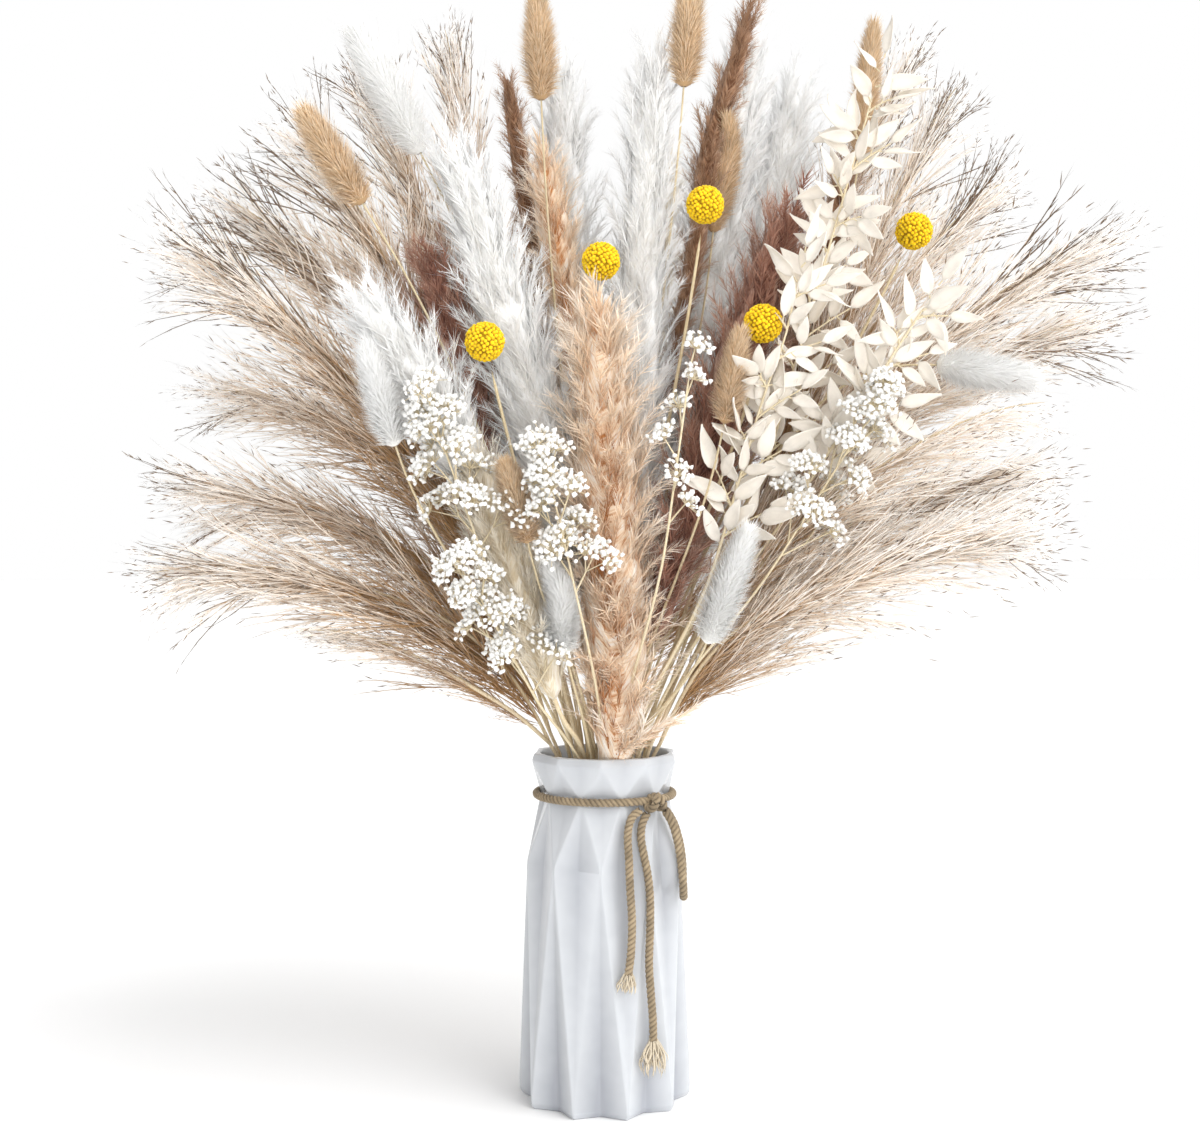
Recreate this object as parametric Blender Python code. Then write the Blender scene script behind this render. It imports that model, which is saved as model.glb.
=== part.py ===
"""A pleated ceramic vase with a jute tie, holding a fan of dried pampas, reed grass, bunny tails,
billy balls, baby's breath and ruscus. Metres, +Z up, origin in the middle of the vase's underside,
front towards -Y. Every stem stands on the vase's inner floor and clears every other stem."""

import math
import random

import bmesh
import bpy
import numpy as np
from mathutils import Matrix, Vector
from mathutils.bvhtree import BVHTree

MM = 0.001
GAP = 0.3 * MM

# Vase: each band is folded into triangles that point up and down in turn, between rings whose peaks
# shift by half a pleat from one ring to the next
VASE_HEIGHT = 190 * MM
PLEATS = 10
FLOOR_THICKNESS = 8 * MM
PLEAT_START = math.radians(-93)
# Height, radius on the front pleat line, radius half a pleat round, and how the band below is folded
VASE_OUTSIDE = [
    (0.0, 38.8, 44.8, None),
    (3.0, 40.2, 46.8, "square"),
    (131.0, 43.2, 39.6, "peak above"),
    (167.0, 33.4, 34.6, "peak below"),
    (186.0, 40.4, 39.2, "peak above"),
    (190.0, 39.0, 38.0, "square"),
]
VASE_INSIDE = [(190.0, 35.6), (186.0, 34.6), (167.0, 31.2), (131.0, 34.8), (8.0, 36.8)]
MOUTH_RADIUS = 29.0 * MM

# Jute tie: a ring round the neck, a knot at the front right, one loop and two frayed tails
ROPE_DIAMETER = 4.6 * MM
TIE_HEIGHT = 167 * MM
TIE_RADIUS = 37.45 * MM
KNOT_ANGLE = math.radians(-49)
KNOT_RADIUS = 41.05 * MM
WRAP_RADIUS = 3.5 * MM
FRAY_SPREAD = 2.0
# Routes as (across, up) in mm on the front of the vase, from the knot down
TAIL_SHORT = [
    (18.6, 162.4), (14.4, 159.2), (12.2, 151), (12.8, 137), (13.3, 123), (14.3, 106), (13.8, 90), (12.4, 78),
]
TAIL_LONG = [
    (22.4, 160.5), (19.9, 155.6), (19.2, 149), (20.4, 141), (22.8, 129), (24.0, 115), (23.8, 98), (23.4, 82),
    (24.4, 66), (25.4, 53), (25.6, 42),
]
# Loop as (across, depth, up) in mm: out of the knot, down the right side and back up behind itself
LOOP = [
    (32.3, -30.8, 161.6), (36.0, -33.4, 155.5), (38.7, -35.8, 146), (40.4, -37.5, 136), (41.4, -38.3, 125.5),
    (41.8, -36.4, 119.7), (42.1, -31.6, 116.1), (42.3, -25.6, 116.1), (42.4, -20.8, 119.7),
    (42.4, -18.9, 125.5), (41.7, -19.0, 136), (39.8, -20.4, 146), (36.6, -23.2, 155.5), (32.6, -26.4, 161.8),
]

# Sizes by kind in mm: sides of the stalk, stalk and head radii, step between whorls, lean in degrees
KINDS = {
    "plume": dict(sides=4, stalk=1.3, core=2.0, step=12.5, lean=32, turn=30),
    "slim": dict(sides=4, stalk=1.2, core=1.8, step=10, lean=25, turn=30),
    "reed": dict(sides=4, stalk=1.1, core=1.2, step=16, lean=23, turn=35),
    "bunny": dict(sides=5, stalk=0.9, core=0.68, step=7.6, lean=38, turn=36),
    "ball": dict(sides=4, stalk=1.2),
    "breath": dict(sides=4, stalk=0.9, step=15),
    "ruscus": dict(sides=4, stalk=1.0, step=18),
}
BALL_RADIUS = 10.8 * MM
LEAF_LENGTH, LEAF_WIDTH, LEAF_THICKNESS = 24 * MM, 12.5 * MM, 0.9 * MM
BUD_RADIUS = 2.1 * MM

# Name, kind, foot of the head and its tip in mm, half width in mm, colour. A second culm of a reed
# follows its first, under the same name with "+"
PLANTS = [
    ("ball_left", "ball", (-54, -75, 378), (-60, -85, 405), 0, "cream"),
    ("ball_low_mid", "ball", (-3, -47, 422), (-2, -55, 450), 0, "cream"),
    ("ball_high", "ball", (48, -46, 452), (52, -50, 480), 0, "cream"),
    ("ball_right", "ball", (76, -68, 388), (83, -75, 415), 0, "cream"),
    ("ball_far_right", "ball", (153, -22, 446), (165, -25, 471), 0, "cream"),
    ("ruscus_tall", "ruscus", (84, -50, 345), (142, -66, 552), 12, "ivory"),
    ("ruscus_mid", "ruscus", (58, -66, 300), (100, -82, 450), 12, "ivory"),
    ("ruscus_right", "ruscus", (104, -66, 335), (165, -92, 432), 12, "ivory"),
    ("breath_left_high", "breath", (-62, -82, 300), (-84, -104, 366), 26, "white"),
    ("breath_mid", "breath", (-14, -92, 278), (-28, -108, 340), 24, "white"),
    ("breath_left_low", "breath", (-36, -66, 226), (-66, -100, 286), 26, "white"),
    ("breath_right", "breath", (88, -70, 296), (134, -92, 372), 28, "white"),
    ("breath_sprig", "breath", (31, -100, 312), (42, -112, 396), 14, "white"),
    ("bunny_tan_left", "bunny", (-125, -60, 480), (-155, -66, 526), 11, "tan"),
    ("bunny_tan_top", "bunny", (-34, -22, 543), (-36, -24, 598), 10, "tan"),
    ("bunny_tan_peak", "bunny", (42, -30, 548), (46, -32, 604), 10, "tan"),
    ("bunny_tan_behind", "bunny", (60, 5, 478), (66, 8, 542), 9.5, "tan"),
    ("bunny_tan_low", "bunny", (60, -82, 366), (68, -86, 412), 8.5, "tan"),
    ("bunny_tan_right", "bunny", (142, 15, 520), (151, 20, 598), 9, "tan"),
    ("bunny_tan_small", "bunny", (-38, -90, 306), (-50, -96, 346), 9, "tan"),
    ("bunny_white_high", "bunny", (-98, -36, 512), (-134, -40, 578), 13, "white"),
    ("bunny_white_left", "bunny", (-104, -95, 354), (-118, -100, 402), 10, "white"),
    ("bunny_white_mid", "bunny", (-20, -74, 250), (-29, -84, 296), 9.5, "white"),
    ("bunny_white_right", "bunny", (172, -60, 396), (222, -65, 388), 11.5, "white"),
    ("bunny_white_low", "bunny", (52, -78, 256), (72, -95, 314), 10.5, "white"),
    ("pampas_apricot", "plume", (8, -27, 192), (-4, -84, 424), 25, "apricot"),
    ("pampas_apricot_high", "slim", (-16, -6, 390), (-34, 4, 522), 13, "apricot"),
    ("pampas_white_left", "plume", (-14, -34, 290), (-82, -46, 517), 25, "white"),
    ("pampas_white_mid", "plume", (14, -22, 285), (26, -18, 568), 21, "white"),
    ("pampas_white_back", "plume", (-16, 24, 360), (-26, 62, 588), 21, "white"),
    ("pampas_white_tall", "plume", (48, 26, 380), (86, 54, 597), 23, "white"),
    ("pampas_white_far", "plume", (72, 52, 370), (118, 92, 586), 23, "white"),
    ("pampas_white_small", "slim", (-62, -62, 330), (-126, -84, 432), 19, "white"),
    ("pampas_cream", "plume", (-26, -58, 224), (-72, -74, 358), 20, "cream"),
    ("pampas_brown_left", "slim", (-38, 24, 455), (-56, 30, 572), 9, "brown"),
    ("pampas_brown_tall", "slim", (48, 0, 455), (82, 15, 607), 11, "brown"),
    ("pampas_mauve_left", "slim", (-68, -24, 372), (-95, -30, 462), 15, "mauve"),
    ("pampas_mauve_right", "plume", (36, -40, 290), (102, -34, 488), 20, "mauve"),
    ("pampas_brown_right", "plume", (108, 20, 395), (141, 40, 528), 16, "brown"),
    ("pampas_cream_rear", "plume", (14, 66, 340), (36, 122, 545), 22, "cream"),
    ("reed_left_low", "reed", (-92, -40, 268), (-247, -60, 285), 34, "straw"),
    ("reed_left_low+", "reed", (-74, -46, 232), (-168, -52, 258), 9, "straw"),
    ("reed_left_mid", "reed", (-102, 0, 297), (-250, 0, 330), 40, "straw"),
    ("reed_left_mid+", "reed", (-116, 42, 352), (-245, 55, 392), 36, "straw"),
    ("reed_left_high", "reed", (-116, -20, 370), (-242, -30, 467), 38, "straw"),
    ("reed_left_high+", "reed", (-120, 52, 410), (-240, 78, 514), 36, "straw"),
    ("reed_left_top", "reed", (-100, 0, 418), (-180, 0, 547), 36, "straw"),
    ("reed_left_top+", "reed", (-88, 62, 448), (-154, 90, 596), 34, "straw"),
    ("reed_top", "reed", (-68, 40, 452), (-95, 52, 612), 26, "straw"),
    ("reed_top+", "reed", (-40, 92, 380), (-62, 176, 486), 36, "straw"),
    ("reed_right_low", "reed", (82, -50, 268), (240, -62, 305), 36, "straw"),
    ("reed_right_low+", "reed", (106, 10, 297), (262, 10, 342), 38, "straw"),
    ("reed_right_mid", "reed", (116, -60, 326), (232, -84, 375), 32, "straw"),
    ("reed_right_mid+", "reed", (144, 20, 365), (300, 25, 430), 34, "straw"),
    ("reed_right_high", "reed", (142, -20, 384), (290, -28, 466), 34, "straw"),
    ("reed_right_high+", "reed", (150, 62, 420), (250, 88, 526), 32, "straw"),
    ("reed_right_top", "reed", (138, 0, 442), (200, 0, 562), 30, "straw"),
    ("reed_right_top+", "reed", (128, 52, 472), (190, 74, 606), 26, "straw"),
    ("reed_rear", "reed", (-84, 84, 320), (-168, 168, 410), 38, "straw"),
    ("reed_rear+", "reed", (88, 86, 310), (170, 160, 400), 38, "straw"),
]
# Base colour (linear), roughness
COLOURS = {
    "glaze": ((0.86, 0.87, 0.89), 0.25),
    "jute": ((0.36, 0.26, 0.15), 0.9),
    "yellow": ((0.82, 0.50, 0.02), 0.85),
    "cream": ((0.75, 0.67, 0.52), 0.85),
    "ivory": ((0.83, 0.78, 0.68), 0.7),
    "white": ((0.86, 0.85, 0.83), 0.9),
    "tan": ((0.66, 0.45, 0.24), 0.9),
    "apricot": ((0.64, 0.40, 0.24), 0.9),
    "brown": ((0.26, 0.15, 0.09), 0.9),
    "mauve": ((0.28, 0.16, 0.14), 0.9),
    "straw": ((0.47, 0.37, 0.26), 0.9),
}

# Samples of each stalk's line: in the vase, from the mouth to the head, and along the head
IN_VASE, IN_STALK, IN_HEAD = 4, 9, 12
FORK = IN_VASE
STAND = FLOOR_THICKNESS + GAP
STALK_ROOM = 0.9 * MM
HEAD_ROOM = 2.6 * MM
SPIKE_ROOM = 0.45 * MM


def material(name):
    """A Principled material with the named colour and roughness."""
    made = bpy.data.materials.get(name)
    if made is None:
        made = bpy.data.materials.new(name)
        made.use_nodes = True
        colour, roughness = COLOURS[name]
        shader = made.node_tree.nodes["Principled BSDF"]
        shader.inputs["Base Color"].default_value = (*colour, 1)
        shader.inputs["Roughness"].default_value = roughness
        made.diffuse_color = (*colour, 1)
    return made


def add_object(name, data, colour):
    """Puts a mesh or curve in the scene under its node's name."""
    data.materials.append(material(colour))
    made = bpy.data.objects.new(name, data)
    bpy.context.scene.collection.objects.link(made)
    return made


def finish_mesh(bm, name, colour):
    """Closes any open end of a bmesh, turns its faces outwards and makes it an object."""
    open_edges = [edge for edge in bm.edges if edge.is_boundary]
    if open_edges:
        bmesh.ops.holes_fill(bm, edges=open_edges, sides=0)
    bmesh.ops.recalc_face_normals(bm, faces=bm.faces)
    mesh = bpy.data.meshes.new(name)
    bm.to_mesh(mesh)
    bm.free()
    return add_object(name, mesh, colour)


# Vase

def ring_points(height, first, between):
    """One ring of the vase, on a pleat line and half a pleat round in turn, in mm."""
    for i in range(2 * PLEATS):
        angle = math.pi * i / PLEATS + PLEAT_START
        radius = between if i % 2 else first
        yield Vector((radius * math.cos(angle), radius * math.sin(angle), height)) * MM


def raise_ring(bm, verts, points):
    """Extrudes a closed ring of vertices to new points, and returns the new ring in the same order."""
    edges = [bm.edges.get((a, b)) for a, b in zip(verts, verts[1:] + verts[:1])]
    grown = bmesh.ops.extrude_edge_only(bm, edges=edges)["geom"]
    fresh = {item for item in grown if isinstance(item, bmesh.types.BMVert)}
    ring = []
    for vert, point in zip(verts, points):
        upper = next(e.other_vert(vert) for e in vert.link_edges if e.other_vert(vert) in fresh)
        upper.co = point
        ring.append(upper)
    return ring


def fold(bm, lower, upper, way):
    """Splits each wall panel along the fold line that joins the peaks of its two rings."""
    count = len(lower)
    for i in range(way == "peak below", count, 2):
        for step in (-1, 1):
            bmesh.ops.connect_vert_pair(bm, verts=[upper[i], lower[(i + step) % count]])


def make_vase():
    """Outer pleats, a rounded lip and a plain inner wall down to a thick floor."""
    bm = bmesh.new()
    first = VASE_OUTSIDE[0]
    circle = bmesh.ops.create_circle(bm, cap_ends=False, segments=2 * PLEATS, radius=first[1] * MM)["verts"]
    ring = list(circle)
    for vert, point in zip(ring, ring_points(*first[:3])):
        vert.co = point
    bottom = ring
    for height, ridge, valley, way in VASE_OUTSIDE[1:]:
        upper = raise_ring(bm, ring, ring_points(height, ridge, valley))
        if way != "square":
            fold(bm, ring, upper, way)
        ring = upper
    for height, radius in VASE_INSIDE:
        ring = raise_ring(bm, ring, ring_points(height, radius, radius))
    for rim in (bottom, ring):
        bmesh.ops.contextual_create(bm, geom=rim)
    return finish_mesh(bm, "vase", "glaze")


def outer_radius(up):
    """Radius over the vase's peaks at a height in metres."""
    heights = [row[0] * MM for row in VASE_OUTSIDE]
    return float(np.interp(up, heights, [max(row[1:3]) * MM for row in VASE_OUTSIDE]))


# Jute tie

def smooth_route(points, spacing):
    """Points at an even spacing along a smooth curve through the given ones."""
    points = np.array(points, float)
    ends = np.vstack([2 * points[0] - points[1], points, 2 * points[-1] - points[-2]])
    dense = []
    for i in range(1, len(ends) - 2):
        a, b, c, d = ends[i - 1 : i + 3]
        slope, bow, swing = c - a, 2 * a - 5 * b + 4 * c - d, 3 * b - 3 * c + d - a
        for t in np.linspace(0, 1, 12, endpoint=False):
            dense.append(0.5 * (2 * b + slope * t + bow * t**2 + swing * t**3))
    dense.append(points[-1])
    dense = np.array(dense)
    along = np.concatenate([[0], np.cumsum(np.linalg.norm(np.diff(dense, axis=0), axis=1))])
    marks = np.linspace(0, along[-1], max(2, round(along[-1] / spacing) + 1))
    return np.column_stack([np.interp(marks, along, dense[:, k]) for k in range(3)])


def tail_route(flat):
    """A tail's (across, up) points laid on the vase's front, just clear of its ridges."""
    route = []
    for across, up in flat:
        radius = outer_radius(up * MM) + ROPE_DIAMETER / 2 + 1.6 * MM
        route.append((across * MM, -math.sqrt(radius**2 - (across * MM) ** 2), up * MM))
    return smooth_route(route, 2.2 * ROPE_DIAMETER)


def rope_tube(name, route, frayed):
    """A rope as a round tube on a poly line, opening out over its last points where it is frayed."""
    curve = bpy.data.curves.new(name, "CURVE")
    curve.dimensions = "3D"
    curve.bevel_depth = ROPE_DIAMETER / 2
    curve.bevel_resolution = 2
    curve.use_fill_caps = True
    spline = curve.splines.new("POLY")
    spline.points.add(len(route) - 1)
    for i, (point, place) in enumerate(zip(spline.points, route)):
        point.co = (*place, 1)
        if frayed and i == len(route) - 1:
            point.radius = FRAY_SPREAD
    return add_object(name, curve, "jute")


def ring_mesh(major, minor, places, sides):
    """A bmesh torus round Z, spun from one circle."""
    bm = bmesh.new()
    upright = Matrix.Translation((major, 0, 0)) @ Matrix.Rotation(math.pi / 2, 4, "X")
    circle = bmesh.ops.create_circle(bm, segments=sides, radius=minor, matrix=upright)
    geom = circle["verts"] + list({edge for vert in circle["verts"] for edge in vert.link_edges})
    bmesh.ops.spin(
        bm, geom=geom, axis=(0, 0, 1), cent=(0, 0, 0), angle=math.tau, steps=places, use_merge=True
    )
    bmesh.ops.remove_doubles(bm, verts=bm.verts, dist=0.01 * MM)
    bmesh.ops.recalc_face_normals(bm, faces=bm.faces)
    return bm


def make_tie():
    """The ring round the neck with its knot of two crossing wraps, the loop and the tails."""
    bm = ring_mesh(TIE_RADIUS, ROPE_DIAMETER / 2, 28, 6)
    bmesh.ops.translate(bm, verts=bm.verts, vec=(0, 0, TIE_HEIGHT))
    tie = finish_mesh(bm, "rope_tie", "jute")
    knot = bpy.data.collections.new("knot wraps")
    for side in (-1, 1):
        angle = KNOT_ANGLE + side * math.radians(3.4)
        bm = ring_mesh(WRAP_RADIUS, ROPE_DIAMETER / 2, 10, 6)
        place = Vector((math.cos(angle) * KNOT_RADIUS, math.sin(angle) * KNOT_RADIUS, TIE_HEIGHT - 0.6 * MM))
        turn = Matrix.Rotation(angle, 4, "Z") @ Matrix.Rotation(side * math.radians(24), 4, "X")
        upright = turn @ Matrix.Rotation(math.pi / 2, 4, "X")
        bmesh.ops.transform(bm, verts=bm.verts, matrix=Matrix.Translation(place) @ upright)
        wrap = finish_mesh(bm, f"knot_wrap_{side}", "jute")
        bpy.context.scene.collection.objects.unlink(wrap)
        knot.objects.link(wrap)
    join = tie.modifiers.new("knot", "BOOLEAN")
    join.operation = "UNION"
    join.solver = "EXACT"
    join.operand_type = "COLLECTION"
    join.collection = knot
    graph = bpy.context.evaluated_depsgraph_get()
    joined = bpy.data.meshes.new_from_object(tie.evaluated_get(graph))
    tie.modifiers.clear()
    tie.data = joined
    for wrap in list(knot.objects):
        bpy.data.objects.remove(wrap)
    bpy.data.collections.remove(knot)
    rope_tube("rope_tail_short", tail_route(TAIL_SHORT), True)
    rope_tube("rope_tail_long", tail_route(TAIL_LONG), True)
    rope_tube("rope_loop", smooth_route(np.array(LOOP) * MM, 1.3 * ROPE_DIAMETER), False)


# Stalk lines

def unit(vector):
    return vector / np.linalg.norm(vector)


def mouth_places(rows):
    """Where each stalk crosses the vase's mouth: outer plants near the rim, pushed apart evenly."""
    centre = np.array([0, 0, VASE_HEIGHT])
    places = []
    for _, _, foot, tip, _, _ in rows:
        way = (np.array(foot) + np.array(tip)) / 2 * MM - centre
        lean = math.atan2(math.hypot(way[0], way[1]), way[2])
        share = min(1.0, lean / math.radians(72)) ** 0.85
        places.append(unit(way[:2]) * share * MOUTH_RADIUS)
    places = np.array(places)
    spacing = 5.6 * MM
    for _ in range(400):
        apart = places[:, None] - places[None]
        distance = np.linalg.norm(apart, axis=2) + np.eye(len(places))
        push = np.clip(spacing - distance, 0, None)[..., None] * apart / distance[..., None]
        places = places + 0.3 * push.sum(axis=1)
        reach = np.linalg.norm(places, axis=1, keepdims=True)
        places = places * np.minimum(1, MOUTH_RADIUS / reach)
    return places


def hermite(a, b, go, arrive, count):
    """Points after a up to b on a cubic that leaves along go and arrives along arrive."""
    t = (np.arange(count) + 1)[:, None] / count
    return (
        (2 * t**3 - 3 * t**2 + 1) * a
        + (t**3 - 2 * t**2 + t) * go
        + (3 * t**2 - 2 * t**3) * b
        + (t**3 - t**2) * arrive
    )


def stalk_line(mouth, foot, tip, kind):
    """One stalk's samples, from the vase's floor to the tip of its head."""
    foot, tip = np.array(foot) * MM, np.array(tip) * MM
    low = np.array([*(mouth * 0.9), STAND])
    neck = np.array([*mouth, VASE_HEIGHT - 6 * MM])
    inside = low + (neck - low) * np.linspace(0, 1, IN_VASE)[:, None]
    head = tip - foot
    droop = {"reed": 0.45, "plume": 0.12, "slim": 0.12}.get(kind, 0.0) * np.linalg.norm(head)
    arrive = head - np.array([0, 0, droop])
    begin = head + np.array([0, 0, 0.7 * droop])
    span = np.linalg.norm(foot - neck)
    go = unit(unit(foot - neck) + np.array([0, 0, 0.8])) * span
    stalk = hermite(neck, foot, go, unit(begin) * span, IN_STALK)
    return np.vstack([inside, stalk, hermite(foot, tip, begin, arrive, IN_HEAD)])


def closest(p0, p1, q0, q1):
    """Shortest vectors from segments p to segments q, and how far along each they start."""
    d, e, r = p1 - p0, q1 - q0, p0 - q0
    a, b, c = (d * d).sum(-1), (d * e).sum(-1), (e * e).sum(-1)
    f, g = (d * r).sum(-1), (e * r).sum(-1)
    slack = a * c - b * b
    tiny = 1e-14
    s = np.clip(np.where(slack > tiny, (b * g - c * f) / np.maximum(slack, tiny), 0), 0, 1)
    t = np.clip((b * s + g) / np.maximum(c, tiny), 0, 1)
    s = np.clip((b * t - f) / np.maximum(a, tiny), 0, 1)
    return (q0 + t[..., None] * e) - (p0 + s[..., None] * d), s, t


def sample_radii(kind, width):
    """Radius of the solid round each sample of a stalk's line, heads included."""
    stalk = KINDS[kind]["stalk"] * MM
    radii = np.full(IN_VASE + IN_STALK + IN_HEAD, stalk)
    head = np.linspace(0, 1, IN_HEAD)
    if kind == "bunny":
        radii[-IN_HEAD:] = KINDS[kind]["core"] * width * MM * np.sin(np.pi * (0.15 + 0.8 * head))
    elif kind == "ball":
        radii[-3:] = BALL_RADIUS
    elif "core" in KINDS[kind]:
        radii[-IN_HEAD:] = KINDS[kind]["core"] * MM
    return radii


def untangle(lines, radii, owners):
    """Pushes stalks and heads apart, mostly in depth, until none touches another."""
    count, samples, _ = lines.shape
    line_of = np.repeat(np.arange(count), samples - 1)
    at = np.tile(np.arange(samples - 1), count)
    room = np.where(np.arange(samples) < IN_VASE + 2, STALK_ROOM, HEAD_ROOM)
    thick = (radii[:, :-1] + radii[:, 1:]) / 2 + (room[:-1] + room[1:]) / 4
    thick = thick.reshape(-1)
    first, second = np.triu_indices(len(line_of), 1)
    apart_above = (line_of[first] != line_of[second]) & (at[first] > FORK + 2) & (at[second] > FORK + 2)
    other = (owners[line_of[first]] != owners[line_of[second]]) | apart_above
    first, second = first[other], second[other]
    softness = np.array([0.5, 1.0, 0.35])
    depth = lines[:, -1, 1]
    for _ in range(160):
        starts, ends = lines[:, :-1].reshape(-1, 3), lines[:, 1:].reshape(-1, 3)
        middles, halves = (starts + ends) / 2, np.linalg.norm(ends - starts, axis=1) / 2
        apart = np.linalg.norm(middles[first] - middles[second], axis=1)
        near = apart < halves[first] + halves[second] + thick[first] + thick[second]
        i, j = first[near], second[near]
        offset, s, t = closest(starts[i], ends[i], starts[j], ends[j])
        behind = np.sign(depth[line_of[j]] - depth[line_of[i]] + 1e-9)
        offset[:, 1] += 0.3 * MM * behind
        distance = np.linalg.norm(offset, axis=1)
        need = thick[i] + thick[j]
        bad = distance < need
        if not bad.any():
            break
        i, j, s, t = i[bad], j[bad], s[bad], t[bad]
        way = offset[bad] / np.maximum(distance[bad], 1e-6)[:, None]
        shift = way * (need[bad] - distance[bad])[:, None] * softness
        push, hits = np.zeros_like(lines), np.full((count, samples, 1), 1e-9)
        for index, along, sign in ((i, s, -1), (j, t, 1)):
            for end, share in ((0, 1 - along), (1, along)):
                where = (line_of[index], at[index] + end)
                np.add.at(push, where, sign * shift * share[:, None])
                np.add.at(hits, where, share[:, None])
        push = push / np.maximum(hits, 1)
        for _ in range(2):
            push[:, 1:-1] = (push[:, :-2] + 2 * push[:, 1:-1] + push[:, 2:]) / 4
        lines = lines + 0.9 * push
        lines[:, 0, 2] = STAND
        inside = lines[:, :IN_VASE, :2]
        reach = np.linalg.norm(inside, axis=2, keepdims=True)
        lines[:, :IN_VASE, :2] = inside * np.minimum(1, MOUTH_RADIUS / reach)
        depth_in_vase = (lines[:, IN_VASE - 1, 2] - STAND)[:, None, None]
        rise = (lines[:, :IN_VASE] - lines[:, :1])[..., 2:] / depth_in_vase
        lines[:, :IN_VASE] = lines[:, :1] + rise * (lines[:, IN_VASE - 1] - lines[:, 0])[:, None]
        for k in range(1, count):
            if owners[k] == owners[k - 1]:
                lines[k, : FORK + 2] = lines[k - 1, : FORK + 2]
    return lines


def lay_out():
    """The line and radii of every culm, clear of all the others."""
    mains = [row for row in PLANTS if not row[0].endswith("+")]
    mouths = dict(zip([row[0] for row in mains], mouth_places(mains)))
    names = [row[0] for row in PLANTS]
    owners = np.array([names.index(name.rstrip("+")) for name in names])
    lines = np.array([stalk_line(mouths[row[0].rstrip("+")], row[2], row[3], row[1]) for row in PLANTS])
    radii = np.array([sample_radii(row[1], row[4]) for row in PLANTS])
    return untangle(lines, radii, owners), radii


# Growing shapes from faces

def ring_round(centre, ahead, across, radii, sides, turn=0.0):
    """Corners of a ring, anticlockwise round the way ahead. radii is one number, or two for an oval."""
    ahead = unit(ahead)
    across = unit(across - ahead * (across @ ahead))
    other = np.cross(ahead, across)
    wide, deep = (radii, radii) if np.isscalar(radii) else radii
    corners = []
    for k in range(sides):
        angle = turn + math.tau * (k + 0.5) / sides
        corners.append(Vector(centre + across * wide * math.cos(angle) + other * deep * math.sin(angle)))
    return corners


def grow(bm, face, corners):
    """Extrudes a face and moves its copy onto the corners, matched with the least turning."""
    new = bmesh.ops.extrude_discrete_faces(bm, faces=[face])["faces"][0]
    verts = [loop.vert for loop in new.loops]
    count = len(verts)
    middle = sum((vert.co for vert in verts), Vector()) / count
    target = sum(corners, Vector()) / count

    def turning(start):
        return sum(
            ((vert.co - middle) - (corners[(k + start) % count] - target)).length_squared
            for k, vert in enumerate(verts)
        )

    start = min(range(count), key=turning)
    for k, vert in enumerate(verts):
        vert.co = corners[(k + start) % count]
    return new


def ring_like(face, centre, ahead, radius):
    """Corners of a ring round a twig, in line with the corners of the face that it grows from."""
    verts = [loop.vert for loop in face.loops]
    middle = sum((vert.co for vert in verts), Vector()) / len(verts)
    across = np.array(verts[0].co - middle)
    return ring_round(centre, ahead, across, radius, len(verts), -math.pi / len(verts))


def sides_of(face):
    """The walls under a face that has just been grown."""
    return [near for edge in face.edges for near in edge.link_faces if near is not face]


def point_at(bm, face, apex):
    """Draws a face out to a point."""
    tip = bmesh.ops.poke(bm, faces=[face])["verts"][0]
    tip.co = Vector(apex)
    return tip


class Room:
    """Every solid stretch placed so far, so that nothing new grows across one."""

    def __init__(self, lines, radii):
        self.starts, self.ends, self.radii, self.owners = [], [], [], []
        for k, line in enumerate(lines):
            self.add(line[:-1], line[1:], (radii[k, :-1] + radii[k, 1:]) / 2, k)
        around = np.linspace(0, math.tau, 37)[:, None]
        rings = ((VASE_HEIGHT - 3 * MM, 36.5 * MM), (TIE_HEIGHT + 6 * MM, 36 * MM), (TIE_HEIGHT, 39.5 * MM))
        for up, radius in rings:
            circle = np.hstack([radius * np.cos(around), radius * np.sin(around), np.full_like(around, up)])
            self.add(circle[:-1], circle[1:], np.full(36, 3.6 * MM), -1)

    def add(self, starts, ends, radii, owner):
        self.starts.append(np.array(starts))
        self.ends.append(np.array(ends))
        self.radii.append(np.array(radii))
        self.owners.append(np.full(len(starts), owner))

    def pack(self):
        """Gathers what was added since into single arrays."""
        for name in ("starts", "ends", "radii", "owners"):
            setattr(self, name, [np.concatenate(getattr(self, name))])

    def clear(self, starts, ends, radii, ignore):
        """Whether these stretches keep their room from all others, apart from the ignored owners."""
        self.pack()
        middle = (starts[0] + ends[-1]) / 2
        reach = np.linalg.norm(ends[-1] - starts[0]) / 2 + radii.max() + 20 * MM
        mine = np.linalg.norm((self.starts[0] + self.ends[0]) / 2 - middle, axis=1) < reach + 6 * MM
        mine &= ~np.isin(self.owners[0], ignore)
        if not mine.any():
            return True
        q0, q1, thick = self.starts[0][mine], self.ends[0][mine], self.radii[0][mine]
        for p0, p1, radius in zip(starts, ends, radii):
            offset, _, _ = closest(p0[None], p1[None], q0, q1)
            if (np.linalg.norm(offset, axis=1) < thick + radius + SPIKE_ROOM).any():
                return False
        return True


SPIKE_OWNER = 1000


def spike_parts(root, apex, thick):
    """A spike as three stretches that taper to its point."""
    marks = [root + (apex - root) * share for share in (0.0, 0.3, 0.65, 1.0)]
    return np.array(marks[:-1]), np.array(marks[1:]), np.array([1.0, 0.65, 0.3]) * thick


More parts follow.
